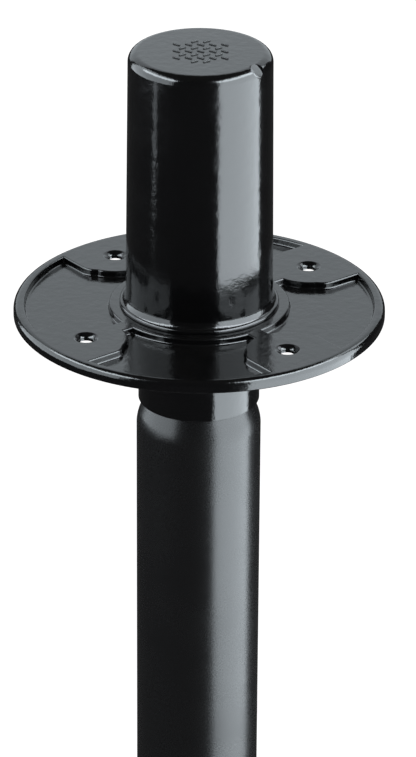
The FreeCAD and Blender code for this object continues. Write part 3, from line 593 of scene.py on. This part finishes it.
# %% [markdown]
# A finished piece is scaled from millimetres to metres, shaded smooth with its true corners kept
# sharp, and tied to the body it moves with. Weighted normals keep large faces flat in reflections
# right up to their rounded edges.

# %% Finish a piece
SHARP_ANGLE = math.radians(40)


def finish_piece(bm, name, body, slot, stands_for=(), place=None):
    """Makes the object, dresses it, ties it to its body, and hides the nodes that it stands for."""
    if place is not None:
        bmesh.ops.transform(bm, matrix=place, verts=bm.verts)
    bmesh.ops.scale(bm, vec=(MM, MM, MM), verts=bm.verts)
    mesh = bpy.data.meshes.new(name)
    bm.to_mesh(mesh)
    bm.free()
    mesh.shade_smooth()
    mesh.set_sharp_from_angle(angle=SHARP_ANGLE)
    piece = bpy.data.objects.new(name, mesh)
    bpy.context.scene.collection.objects.link(piece)
    mesh.materials.append(FINISHES[slot])
    even = piece.modifiers.new("flat faces stay flat", "WEIGHTED_NORMAL")
    even.weight = 50
    even.keep_sharp = True
    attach(piece, body)
    if stands_for:
        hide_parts(*stands_for)
    print(name, len(mesh.polygons), "faces")


def plain_cutter(radius, start, length, place, steps=96):
    """A plain round cutter."""
    end = start + length
    bm = turned_bmesh([(0, start), (radius, start), (radius, end), (0, end)], True, steps)
    bmesh.ops.transform(bm, matrix=place, verts=bm.verts)
    return bm


def cut_with(bm, cutters):
    """The shape with other shapes taken away from it, by an exact boolean."""
    meshes = []
    holders = []
    for index, shape in enumerate([bm] + cutters):
        mesh = bpy.data.meshes.new("cut_%d" % index)
        shape.to_mesh(mesh)
        shape.free()
        holder = bpy.data.objects.new("cut_%d" % index, mesh)
        bpy.context.scene.collection.objects.link(holder)
        meshes.append(mesh)
        holders.append(holder)
    for cutter in holders[1:]:
        step = holders[0].modifiers.new("cut", "BOOLEAN")
        step.operation = "DIFFERENCE"
        step.solver = "EXACT"
        step.object = cutter
    bpy.context.view_layer.update()
    result = holders[0].evaluated_get(bpy.context.evaluated_depsgraph_get()).to_mesh()
    out = bmesh.new()
    out.from_mesh(result)
    for holder in holders:
        bpy.data.objects.remove(holder)
    for mesh in meshes:
        bpy.data.meshes.remove(mesh)
    return out


def size_mm(node):
    """Lowest and highest corner of a node, in millimetres."""
    low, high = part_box(node)
    return low / MM, high / MM


def middle_of(node):
    """Height of a node's middle, in millimetres."""
    low, high = size_mm(node)
    return (low.z + high.z) / 2


def on_circle(radius, degrees):
    """The x and y of a point on a circle round the Z axis."""
    turn = math.radians(degrees)
    return radius * math.cos(turn), radius * math.sin(turn)


def facing(azimuth, tilt, point):
    """A place for a turned shape: its axis along azimuth and tilt (degrees), its zero at point."""
    spin = Matrix.Rotation(math.radians(azimuth), 4, "Z") @ Matrix.Rotation(math.radians(90 - tilt), 4, "Y")
    return Matrix.Translation(point) @ spin


def facing_back(height):
    """A place for a turned shape whose axis points to the back, at that height."""
    return facing(90, 0, Vector((0, 0, height)))


# %% [markdown]
# ## Cover flange
# The flange is a casting: a rounded edge, a raised rim, a hub ring, and four sunken panels between
# four pads with screw holes. The outer edge and the neck are spun. The flat top is then filled
# between the rims of everything that meets it, and each panel is inset step by step into the metal,
# so that its wall slopes and its edges are rounded as cast edges are. A boolean would cut the panels
# too, but inset faces keep the wall's rounded edges even. One boolean is used after all, low down in
# the spigot, for the two round holes that take the latch bolts when the head is up.

# %% Flange sizes
flange_low, flange_high = size_mm("cover_flange")
FLANGE_R = flange_high.x
FLANGE_TOP = flange_high.z
EDGE_ROUND = 5.0
FOOT_ROUND = 1.0
RIM_R = FLANGE_R - 7.5
HUB_R = 71.3
PANEL_DEPTH = 5.5
HOLE_CIRCLE_R = 113.5
HOLE_TURN = 37.85
HOLE_R = 5.5
SINK_R = 9.5
HOLLOW_R = 20.0
HOLLOW_DEPTH = 4.5
PAD_SIDE = 34.3
PAD_CORNER_U = -8.0
PAD_CORNER_CUT = 4.85
PAD_ROUND_R = 31.6
PAD_ROUND_FROM = 117.0
CORNER_RUN = 4.6
RIM_CORNER_RUN = 6.4
PAD_NECK_HALF = 5.5
PANEL_ARC_STEPS = 22
PAD_ROUND_STEPS = 20
PAD_CORNER_STEPS = 7
BUSH_SEAT_R = size_mm("upper_guide_bush")[1].x
BUSH_SEAT_END = -46.0
BORE_R = 40.3
NECK_R = 49.3
NECK_ROOT = 3.0
NECK_END = -74.6
TUBE_WALL = 3.6
SPIGOT_GAP = 0.05
ROLL_LOW = -97.9
ROLL_CORNER = -92.07
ROLL_LIP_R = 43.82
ROLL_LIP_W = 1.3
LIFT = 400.0
BOLT_HOLE_R = 6.4
TOP_STRIP = 0.3
SEAT_STRIP = 0.8
BAND = 0.25
print("flange radius", round(FLANGE_R, 2), "top", round(FLANGE_TOP, 2))


# %% Panel outline
def arc_on(bm, vert, centre, degrees, steps):
    """Carries a vertex round a centre and leaves an arc of edges. Gives the last vertex."""
    out = bmesh.ops.spin(bm, geom=[vert], cent=(*centre, FLANGE_TOP), axis=(0, 0, 1), dvec=(0, 0, 0),
                         angle=math.radians(degrees), steps=steps, use_merge=False, use_duplicate=False)
    return [item for item in out["geom_last"] if isinstance(item, bmesh.types.BMVert)][0]


def line_on(bm, vert, x, y):
    """A straight edge from a vertex to a point. Gives the new vertex."""
    last = bm.verts.new((x, y, FLANGE_TOP))
    bm.edges.new((vert, last))
    return last


def half_panel(bm, grow):
    """One side of a sunken panel's outline, beside the pad on the +X axis, from hub to rim."""
    hub, rim = HUB_R - grow, RIM_R + grow
    neck, side = PAD_NECK_HALF - grow, PAD_SIDE - grow
    round_r = PAD_ROUND_R - grow
    to_middle = 45.0
    hub_angle = math.degrees(math.asin(neck / hub))
    hub_first = math.degrees(CORNER_RUN / hub)
    first = bm.verts.new((*on_circle(hub, to_middle), FLANGE_TOP))
    at = arc_on(bm, first, (0, 0), hub_angle + hub_first - to_middle, PANEL_ARC_STEPS)
    at = arc_on(bm, at, (0, 0), -hub_first, 1)
    round_to = 180 - math.degrees(math.asin(neck / round_r))
    round_first = math.degrees(CORNER_RUN / round_r)
    at = line_on(bm, at, HOLE_CIRCLE_R + on_circle(round_r, round_to)[0], neck)
    at = arc_on(bm, at, (HOLE_CIRCLE_R, 0), -round_first, 1)
    at = arc_on(bm, at, (HOLE_CIRCLE_R, 0), PAD_ROUND_FROM + round_first - round_to, PAD_ROUND_STEPS)
    corner = line_on(bm, at, HOLE_CIRCLE_R + PAD_CORNER_U, side)
    rim_angle = math.degrees(math.asin(side / rim))
    rim_first = math.degrees(RIM_CORNER_RUN / rim)
    at = line_on(bm, corner, on_circle(rim, rim_angle)[0], side)
    at = arc_on(bm, at, (0, 0), rim_first, 1)
    arc_on(bm, at, (0, 0), to_middle - rim_angle - rim_first, PANEL_ARC_STEPS)
    bmesh.ops.bevel(bm, geom=[corner], offset=PAD_CORNER_CUT, offset_type="OFFSET", affect="VERTICES",
                    segments=PAD_CORNER_STEPS, profile=0.5, material=-1)


def panel_loops(bm):
    """The four closed outlines of the sunken panels, a little wide of their walls."""
    half = bmesh.new()
    half_panel(half, BAND)
    middle = math.radians(45)
    flip = Matrix.Scale(-1, 4, (0, 1, 0))
    mirror = Matrix.Rotation(middle, 4, "Z") @ flip @ Matrix.Rotation(-middle, 4, "Z")
    copy = bmesh.ops.duplicate(half, geom=half.verts[:] + half.edges[:])
    copied = [item for item in copy["geom"] if isinstance(item, bmesh.types.BMVert)]
    bmesh.ops.transform(half, matrix=mirror, verts=copied)
    bmesh.ops.remove_doubles(half, verts=half.verts, dist=1e-3)
    to_first = Matrix.Rotation(math.radians(HOLE_TURN), 3, "Z")
    bmesh.ops.rotate(half, cent=(0, 0, 0), matrix=to_first, verts=half.verts)
    quarter = Matrix.Rotation(math.pi / 2, 3, "Z")
    loops = []
    for turn in range(4):
        holder = bpy.data.meshes.new("panel")
        half.to_mesh(holder)
        before = set(bm.edges)
        bm.from_mesh(holder)
        bpy.data.meshes.remove(holder)
        loops.append([edge for edge in bm.edges if edge not in before])
        bmesh.ops.rotate(half, cent=(0, 0, 0), matrix=quarter, verts=half.verts)
    half.free()
    return loops


# %% Flange body
WALL_TOP_ROUND = 1.5
WALL_FOOT_ROUND = 1.6
WALL_SLOPE = math.radians(84)


def round_steps(radius, turns=6):
    """Insets and depths that round an edge, from flat to the wall's slope."""
    angles = [WALL_SLOPE * turn / turns for turn in range(turns + 1)]
    return [(radius * (math.sin(b) - math.sin(a)), radius * (math.cos(a) - math.cos(b)))
            for a, b in zip(angles, angles[1:])]


wall_h = PANEL_DEPTH - (WALL_TOP_ROUND + WALL_FOOT_ROUND) * (1 - math.cos(WALL_SLOPE))
WALL_STEPS = [(BAND, 0.0), *round_steps(WALL_TOP_ROUND), (wall_h / math.tan(WALL_SLOPE), wall_h),
              *round_steps(WALL_FOOT_ROUND)[::-1], (0.5, 0.0)]
print("panel walls move in by", round(sum(step[0] for step in WALL_STEPS), 2), "mm")

# Radius and depth of each ring down a screw hole: the sink, the hole, then the hollow under the pad
ROOF = FLANGE_TOP - HOLLOW_DEPTH
HOLE_STEPS = [(SINK_R + 0.9, 0.0), (SINK_R + 0.6, 0.04), (SINK_R - 0.1, 0.22), (SINK_R - 0.9, 0.62),
              (HOLE_R + 1.7, 1.5), (HOLE_R + 0.7, 2.35), (HOLE_R + 0.18, 3.1), (HOLE_R, 3.8),
              (HOLE_R, ROOF - 0.3), (HOLE_R + 0.3, ROOF), (HOLLOW_R - 1.0, ROOF),
              (HOLLOW_R - 0.3, ROOF + 0.3), (HOLLOW_R, ROOF + 1.0), (HOLLOW_R, FLANGE_TOP - 0.4),
              (HOLLOW_R + 0.4, FLANGE_TOP)]


def loop_at(bm, radius, height):
    """The edges of a spun circle of that radius and height."""
    return [edge for edge in bm.edges if all(
        abs(v.co.z - height) < 1e-3 and abs(math.hypot(v.co.x, v.co.y) - radius) < 1e-2 for v in edge.verts)]


def screw_hole(bm, centre):
    """A countersunk hole as a stack of rings, joined ring to ring. Gives the top and bottom rings."""
    rings = []
    for radius, depth in HOLE_STEPS:
        made = bmesh.ops.create_circle(bm, cap_ends=False, segments=64, radius=radius,
                                       matrix=Matrix.Translation((centre.x, centre.y, FLANGE_TOP - depth)))
        rings.append(list({edge for vert in made["verts"] for edge in vert.link_edges}))
    for upper, lower in zip(rings, rings[1:]):
        bmesh.ops.bridge_loops(bm, edges=upper + lower)
    return rings[0], rings[-1]


def cover_flange():
    bm = bmesh.new()
    spigot_low = flange_low.z
    spigot_r = size_mm("ground_tube")[1].x - TUBE_WALL - SPIGOT_GAP
    top_r = FLANGE_R - EDGE_ROUND - TOP_STRIP
    foot_r = FLANGE_R - FOOT_ROUND - TOP_STRIP
    root_r = NECK_R + NECK_ROOT + 0.4
    seat_r = BUSH_SEAT_R + SEAT_STRIP
    trace(bm, [(top_r, FLANGE_TOP), (FLANGE_R, FLANGE_TOP, EDGE_ROUND - 0.02),
               (FLANGE_R, 0.0, FOOT_ROUND), (foot_r, 0.0)], arc_steps=10)
    trace(bm, [(root_r, 0.0), (NECK_R, 0.0, NECK_ROOT), (NECK_R, NECK_END, 0.35),
               (ROLL_LIP_R - ROLL_LIP_W - SPIGOT_GAP, NECK_END), (spigot_r, ROLL_LOW),
               (spigot_r, spigot_low, 0.4), (BORE_R, spigot_low, 0.4), (BORE_R, BUSH_SEAT_END, 0.3),
               (BUSH_SEAT_R, BUSH_SEAT_END), (BUSH_SEAT_R, FLANGE_TOP, 0.5), (seat_r, FLANGE_TOP)])
    spin_round(bm, FINE_ROUND)
    hole_rings = []
    for turn in range(4):
        centre = Vector((*on_circle(HOLE_CIRCLE_R, HOLE_TURN + 90 * turn), 0))
        hole_rings.append(screw_hole(bm, centre))
    panels = panel_loops(bm)
    top = loop_at(bm, top_r, FLANGE_TOP) + loop_at(bm, seat_r, FLANGE_TOP)
    top += [edge for ring in hole_rings for edge in ring[0]] + [edge for loop in panels for edge in loop]
    bmesh.ops.triangle_fill(bm, use_beauty=True, use_dissolve=False, edges=top, normal=(0, 0, 1))
    under = loop_at(bm, foot_r, 0.0) + loop_at(bm, root_r, 0.0)
    under += [edge for ring in hole_rings for edge in ring[1]]
    bmesh.ops.triangle_fill(bm, use_beauty=True, use_dissolve=False, edges=under, normal=(0, 0, -1))
    floors = []
    for loop in panels:
        made = bmesh.ops.contextual_create(bm, geom=loop)
        floors += made["faces"]
    bmesh.ops.recalc_face_normals(bm, faces=bm.faces)
    for thickness, depth in WALL_STEPS:
        bmesh.ops.inset_region(bm, faces=floors, thickness=thickness, depth=-depth, use_boundary=True,
                               use_even_offset=True, use_interpolate=False)
    bmesh.ops.triangulate(bm, faces=floors)
    raised = Vector((0, 0, middle_of("latch_bolt_right") + LIFT))
    bm = cut_with(bm, [plain_cutter(BOLT_HOLE_R, -60, 120, facing(0, 0, raised))])
    finish_piece(bm, "flange_casting", "ground_unit", "black_enamel", ["cover_flange"])


cover_flange()


# %% [markdown]
# ## Head
# The head is a thick-walled cap. Its whole section is one outline: foot rim, cove, slightly
# tapered side, rounded shoulder, crown and cavity. The plug's seat, the flat for the key cover and
# the lock's pocket are cut afterwards by turned cutters. The seat's cutter has a flared mouth, so
# that its cut leaves a rounded edge; the flat and the pocket are cut plain.

# %% Head sizes
head_low, head_high = size_mm("head_casting")
LUG_H = 1.0
HEAD_TOP = head_high.z - LUG_H
HEAD_SEAT = head_low.z
HEAD_FOOT_R = head_high.x
HEAD_BASE_R = HEAD_FOOT_R - 5.0
HEAD_TOP_R = HEAD_BASE_R - 2.1
FOOT_RIM_H = 3.2
FOOT_RIM_ROUND = 2.2
FOOT_RIM_STEP = 2.4
COVE_H = 5.5
COVE_ROUND = 3.4
SHOULDER_ROUND = 8.0
CAVITY_R = 49.5
CAVITY_DROP = 26.0
CROWN_T = 12.0
CORE_R = 34.15
PLUG_TURN = 324.0
PLUG_R = 6.5
PLUG_SINK = 1.4
PLUG_LENGTH = 8.0
LOCK_Z = 70.0
COVER_Z = 82.5
FLAT_Y = 56.8
FLAT_R = 25.0
POCKET_R = 17.0
POCKET_Y = 54.0
print("head from", round(HEAD_SEAT, 2), "to", round(HEAD_TOP, 2))


# %% Head body
def head_body():
    cavity_top = HEAD_TOP - CAVITY_DROP
    rim_top = HEAD_SEAT + FOOT_RIM_H
    outline = [(CAVITY_R + 2.0, HEAD_SEAT), (HEAD_FOOT_R, HEAD_SEAT, 0.3),
               (HEAD_FOOT_R, rim_top, FOOT_RIM_ROUND), (HEAD_FOOT_R - FOOT_RIM_STEP, rim_top),
               (HEAD_BASE_R, HEAD_SEAT + COVE_H, COVE_ROUND),
               (HEAD_TOP_R, HEAD_TOP, SHOULDER_ROUND), (0, HEAD_TOP), (0, HEAD_TOP - CROWN_T),
               (CORE_R, HEAD_TOP - CROWN_T), (CORE_R, cavity_top, 0.5), (CAVITY_R, cavity_top, 1.0),
               (CAVITY_R, HEAD_SEAT)]
    bm = bmesh.new()
    trace(bm, outline, closed=True, arc_steps=12)
    spin_round(bm, FINE_ROUND)
    return bm


def flared_cutter(radius, floor, mouth, flare, place, steps=96):
    """A turned cutter from its floor up past its mouth, where it widens in an arc."""
    over = mouth + 8 * flare
    corners = [(0, floor), (radius, floor, 0.4), (radius, mouth - flare, flare * 0.9),
               (radius + 30 * flare, over), (0, over)]
    bm = bmesh.new()
    trace(bm, corners, closed=True)
    spin_round(bm, steps)
    bmesh.ops.transform(bm, matrix=place, verts=bm.verts)
    return bm


def seat_point():
    """Where the plug's axis comes out of the rounded shoulder."""
    out = Vector((*on_circle(1.0, PLUG_TURN), 0))
    centre = out * (HEAD_TOP_R - SHOULDER_ROUND) + Vector((0, 0, HEAD_TOP - SHOULDER_ROUND))
    way = (out + Vector((0, 0, 1))).normalized()
    return centre + way * SHOULDER_ROUND


def tread_lugs(bm):
    """Short raised bars on the crown in staggered rows, leaning left and right by turns."""
    pitch, field, length, width = 9.5, 27.0, 6.5, 1.8
    reach = int(field // pitch) + 1
    count = 0
    for row in range(-reach, reach + 1):
        for column in range(-reach, reach + 1):
            x = (column + 0.5 * (row % 2)) * pitch
            y = row * pitch * 0.75
            if math.hypot(x, y) > field - length / 2:
                continue
            lean = Matrix.Rotation(math.radians(35 if row % 2 else -35), 4, "Z")
            size = Matrix.Diagonal((length, width, LUG_H + 1.0, 1.0))
            place = Matrix.Translation((x, y, HEAD_TOP + (LUG_H - 1.0) / 2)) @ lean @ size
            made = bmesh.ops.create_cube(bm, size=1.0, matrix=place)
            edges = list({edge for vert in made["verts"] for edge in vert.link_edges})
            bmesh.ops.bevel(bm, geom=edges, offset=0.45, offset_type="OFFSET", affect="EDGES", segments=3,
                            profile=0.5, material=-1)
            count += 1
    return count


def head_casting():
    seat = flared_cutter(PLUG_R, -PLUG_LENGTH, 0.1, 0.4, facing(PLUG_TURN, 45, seat_point()))
    flat = plain_cutter(FLAT_R, FLAT_Y, 20, facing_back(COVER_Z))
    pocket = plain_cutter(POCKET_R, POCKET_Y, 20, facing_back(LOCK_Z))
    bm = cut_with(head_body(), [seat, flat, pocket])
    print("tread lugs:", tread_lugs(bm))
    finish_piece(bm, "head_shell", "head_unit", "black_enamel", ["head_casting"])


head_casting()


# %% [markdown]
# ## Shoulder plug
# A flat plug closes the thread for the lifting eye. It is a turned button, flat in the middle, whose
# face slopes down a little to a rounded rim.

# %% Shoulder plug
def shoulder_plug():
    face, side = -PLUG_SINK, PLUG_R - 0.05
    bm = turned_bmesh([(0, -PLUG_LENGTH), (side, -PLUG_LENGTH), (side, face - 0.3, 0.6), (4.2, face, 1.5),
                       (0, face)], True, 96)
    place = facing(PLUG_TURN, 45, seat_point())
    finish_piece(bm, "lifting_plug", "head_unit", "black_enamel", ["shoulder_plug"], place)


shoulder_plug()


# %% [markdown]
# ## Ground tube and base plate
# The tube's upper end is rolled in under the neck's sharp edge, round the tapered spigot. At
# the bottom it is welded to a round plate with three drain holes, and the weld bead shows as a ring
# of small overlapping ripples.

# %% Ground tube
tube_low, tube_high = size_mm("ground_tube")
TUBE_R = tube_high.x
TUBE_TOP = tube_high.z
TUBE_LOW = tube_low.z


def ground_tube():
    bore_r = TUBE_R - TUBE_WALL
    outline = [(ROLL_LIP_R, TUBE_TOP, 0.3), (TUBE_R, ROLL_CORNER, ROLL_CORNER - ROLL_LOW), (TUBE_R, TUBE_LOW),
               (bore_r, TUBE_LOW), (bore_r, ROLL_LOW), (ROLL_LIP_R - ROLL_LIP_W, TUBE_TOP, 0.3)]
    bm = bmesh.new()
    trace(bm, outline, closed=True, arc_steps=16)
    spin_round(bm)
    finish_piece(bm, "buried_tube", "ground_unit", "black_tube_coat", ["ground_tube"])


ground_tube()


# %% Base plate and weld
plate_low, plate_high = size_mm("base_plate")
PLATE_R = plate_high.x
PLATE_ROUND = 0.8
DRAIN_R = 6.0
DRAIN_CIRCLE_R = 29.15
DRAIN_TURNS = (30, 90, 150)
BEAD = 5.0
BEAD_STEPS = 384
RIPPLE_H = 0.25
RIPPLE_RATE = 48


def base_plate():
    low, high = plate_low.z, plate_high.z
    bm = turned_bmesh([(0, low), (PLATE_R, low, PLATE_ROUND), (PLATE_R, high, PLATE_ROUND), (0, high)])
    drains = []
    for turn in DRAIN_TURNS:
        place = Matrix.Translation((*on_circle(DRAIN_CIRCLE_R, turn), 0))
        drains.append(plain_cutter(DRAIN_R, low - 1, high - low + 2, place, 48))
    bm = cut_with(bm, drains)
    finish_piece(bm, "foot_plate", "ground_unit", "black_tube_coat", ["base_plate"])


def foot_weld():
    """A ring-shaped bead of weld whose ripples lie like a row of coins."""
    low, part_way = plate_high.z, BEAD * 0.45
    bm = turned_bmesh([(TUBE_R - 0.2, low), (TUBE_R + BEAD, low, 1.5),
                       (TUBE_R + part_way, low + part_way, 1.5), (TUBE_R - 0.2, low + BEAD, 0.4)],
                      True, BEAD_STEPS)
    for vert in bm.verts:
        radius = math.hypot(vert.co.x, vert.co.y)
        if radius > TUBE_R + 0.3 and vert.co.z > low + 0.2:
            turn = math.degrees(math.atan2(vert.co.y, vert.co.x))
            ripple = RIPPLE_H * abs(math.sin(math.radians(turn * RIPPLE_RATE)))
            vert.co.x *= 1 + ripple / radius
            vert.co.y *= 1 + ripple / radius
            vert.co.z += ripple * 0.6
    finish_piece(bm, "foot_weld", "ground_unit", "black_tube_coat")


base_plate()
foot_weld()


# %% [markdown]
# ## Inner post
# When the head is raised, the galvanised post shows between it and the flange. A hole right across
# lets the latch bolts out near its foot, and a wider one at the back lets the lock in.

# %% Inner post
post_low, post_high = size_mm("inner_post")
POST_R = post_high.x
POST_WALL = 2.9
LOCK_OPENING_R = 13.3


def inner_post():
    low, high, bore_r = post_low.z, post_high.z, POST_R - POST_WALL
    bm = turned_bmesh([(bore_r, low, 0.3), (POST_R, low, 0.5), (POST_R, high, 0.5), (bore_r, high, 0.3)])
    across = facing(0, 0, Vector((0, 0, middle_of("latch_bolt_right"))))
    bolt_hole = plain_cutter(BOLT_HOLE_R, -60, 120, across)
    lock_opening = plain_cutter(LOCK_OPENING_R, 0, 60, facing_back(LOCK_Z))
    bm = cut_with(bm, [bolt_hole, lock_opening])
    finish_piece(bm, "sliding_post", "head_unit", "galvanised_steel", ["inner_post"])


inner_post()


# %% [markdown]
# ## Key lock at the back
# The lock sits in a round pocket behind a flat. A stainless cover hangs from a slotted screw and
# swings aside from the key well. The housing, the cover and the screw are all turned or cut from
# plate, with small rounded edges that catch the light.

# %% Lock pieces
cover_low, cover_high = size_mm("lock_cover")
housing_low, housing_high = size_mm("lock_housing")
pivot_low, pivot_high = size_mm("cover_pivot")
HOUSING_BORE_R = 10.08
HOUSING_BODY_R = 13.0
HOUSING_RIM_R = POCKET_R - 0.4
HOUSING_HOLE_R = 2.05
COVER_HOLE_R = 2.08
COVER_DISC_R = 11.0
COVER_EAR_R = 5.5
PIVOT_R = 2.0
PIVOT_CAP_R = 4.2
PIVOT_CAP_T = 1.2
SLOT_SIZE = (12, 1.0, 1.0, 1)


def lock_housing():
    low, high = housing_low.y, housing_high.y
    bm = turned_bmesh([(HOUSING_BORE_R, low, 0.3), (HOUSING_BODY_R, low, 0.5), (HOUSING_BODY_R, POCKET_Y),
                       (HOUSING_RIM_R, POCKET_Y), (HOUSING_RIM_R, high, 0.5), (HOUSING_BORE_R, high, 0.4)],
                      True, 128)
    bmesh.ops.transform(bm, matrix=facing_back(LOCK_Z), verts=bm.verts)
    bm = cut_with(bm, [plain_cutter(HOUSING_HOLE_R, 0, 80, facing_back(COVER_Z), 32)])
    finish_piece(bm, "lock_sleeve", "head_unit", "stainless_steel", ["lock_housing"])


def lock_cover():
    """A drop-shaped flap: a round disc and a round ear, joined by tangents."""
    thick = cover_high.y - cover_low.y
    ear_at = Matrix.Translation((0, COVER_Z - LOCK_Z, 0))
    bm = bmesh.new()
    bmesh.ops.create_circle(bm, cap_ends=False, segments=96, radius=COVER_DISC_R)
    bmesh.ops.create_circle(bm, cap_ends=False, segments=64, radius=COVER_EAR_R, matrix=ear_at)
    hull = bmesh.ops.convex_hull(bm, input=bm.verts[:])
    spare = hull["geom_interior"] + hull["geom_unused"]
    inside = [item for item in spare if isinstance(item, bmesh.types.BMVert)]
    bmesh.ops.delete(bm, geom=inside, context="VERTS")
    inner = [edge for edge in bm.edges if len(edge.link_faces) == 2]
    bmesh.ops.dissolve_limit(bm, angle_limit=math.radians(1), verts=bm.verts, edges=inner)
    bmesh.ops.recalc_face_normals(bm, faces=bm.faces)
    raised = bmesh.ops.extrude_face_region(bm, geom=bm.faces[:])
    upper = [item for item in raised["geom"] if isinstance(item, bmesh.types.BMVert)]
    bmesh.ops.translate(bm, verts=upper, vec=(0, 0, thick))
    bmesh.ops.recalc_face_normals(bm, faces=bm.faces)
    rims = [edge for edge in bm.edges if abs(edge.verts[0].co.z - edge.verts[1].co.z) < 1e-4]
    bmesh.ops.bevel(bm, geom=rims, offset=0.4, offset_type="OFFSET", affect="EDGES", segments=3,
                    profile=0.5, material=-1)
    stand_up = Matrix.Rotation(math.radians(90), 4, "X") @ Matrix.Scale(-1, 4, (0, 0, 1))
    place = Matrix.Translation((0, cover_low.y, LOCK_Z)) @ stand_up
    bmesh.ops.transform(bm, matrix=place, verts=bm.verts)
    bmesh.ops.recalc_face_normals(bm, faces=bm.faces)
    bm = cut_with(bm, [plain_cutter(COVER_HOLE_R, 0, 80, facing_back(COVER_Z), 32)])
    finish_piece(bm, "key_cover", "cover_unit", "stainless_steel", ["lock_cover"])


def cover_pivot():
    cap_y = pivot_high.y
    under_y = cap_y - PIVOT_CAP_T
    bm = turned_bmesh([(0, pivot_low.y), (PIVOT_R, pivot_low.y, 0.3), (PIVOT_R, under_y),
                       (PIVOT_CAP_R, under_y), (PIVOT_CAP_R, cap_y, 0.5), (0, cap_y)], True, 64)
    bmesh.ops.transform(bm, matrix=facing_back(COVER_Z), verts=bm.verts)
    slot = bmesh.new()
    slot_at = Matrix.Translation((0, cap_y, COVER_Z)) @ Matrix.Diagonal(SLOT_SIZE)
    bmesh.ops.create_cube(slot, size=1.0, matrix=slot_at)
    bm = cut_with(bm, [slot])
    finish_piece(bm, "cover_screw", "head_unit", "stainless_steel", ["cover_pivot"])


lock_housing()
lock_cover()
cover_pivot()
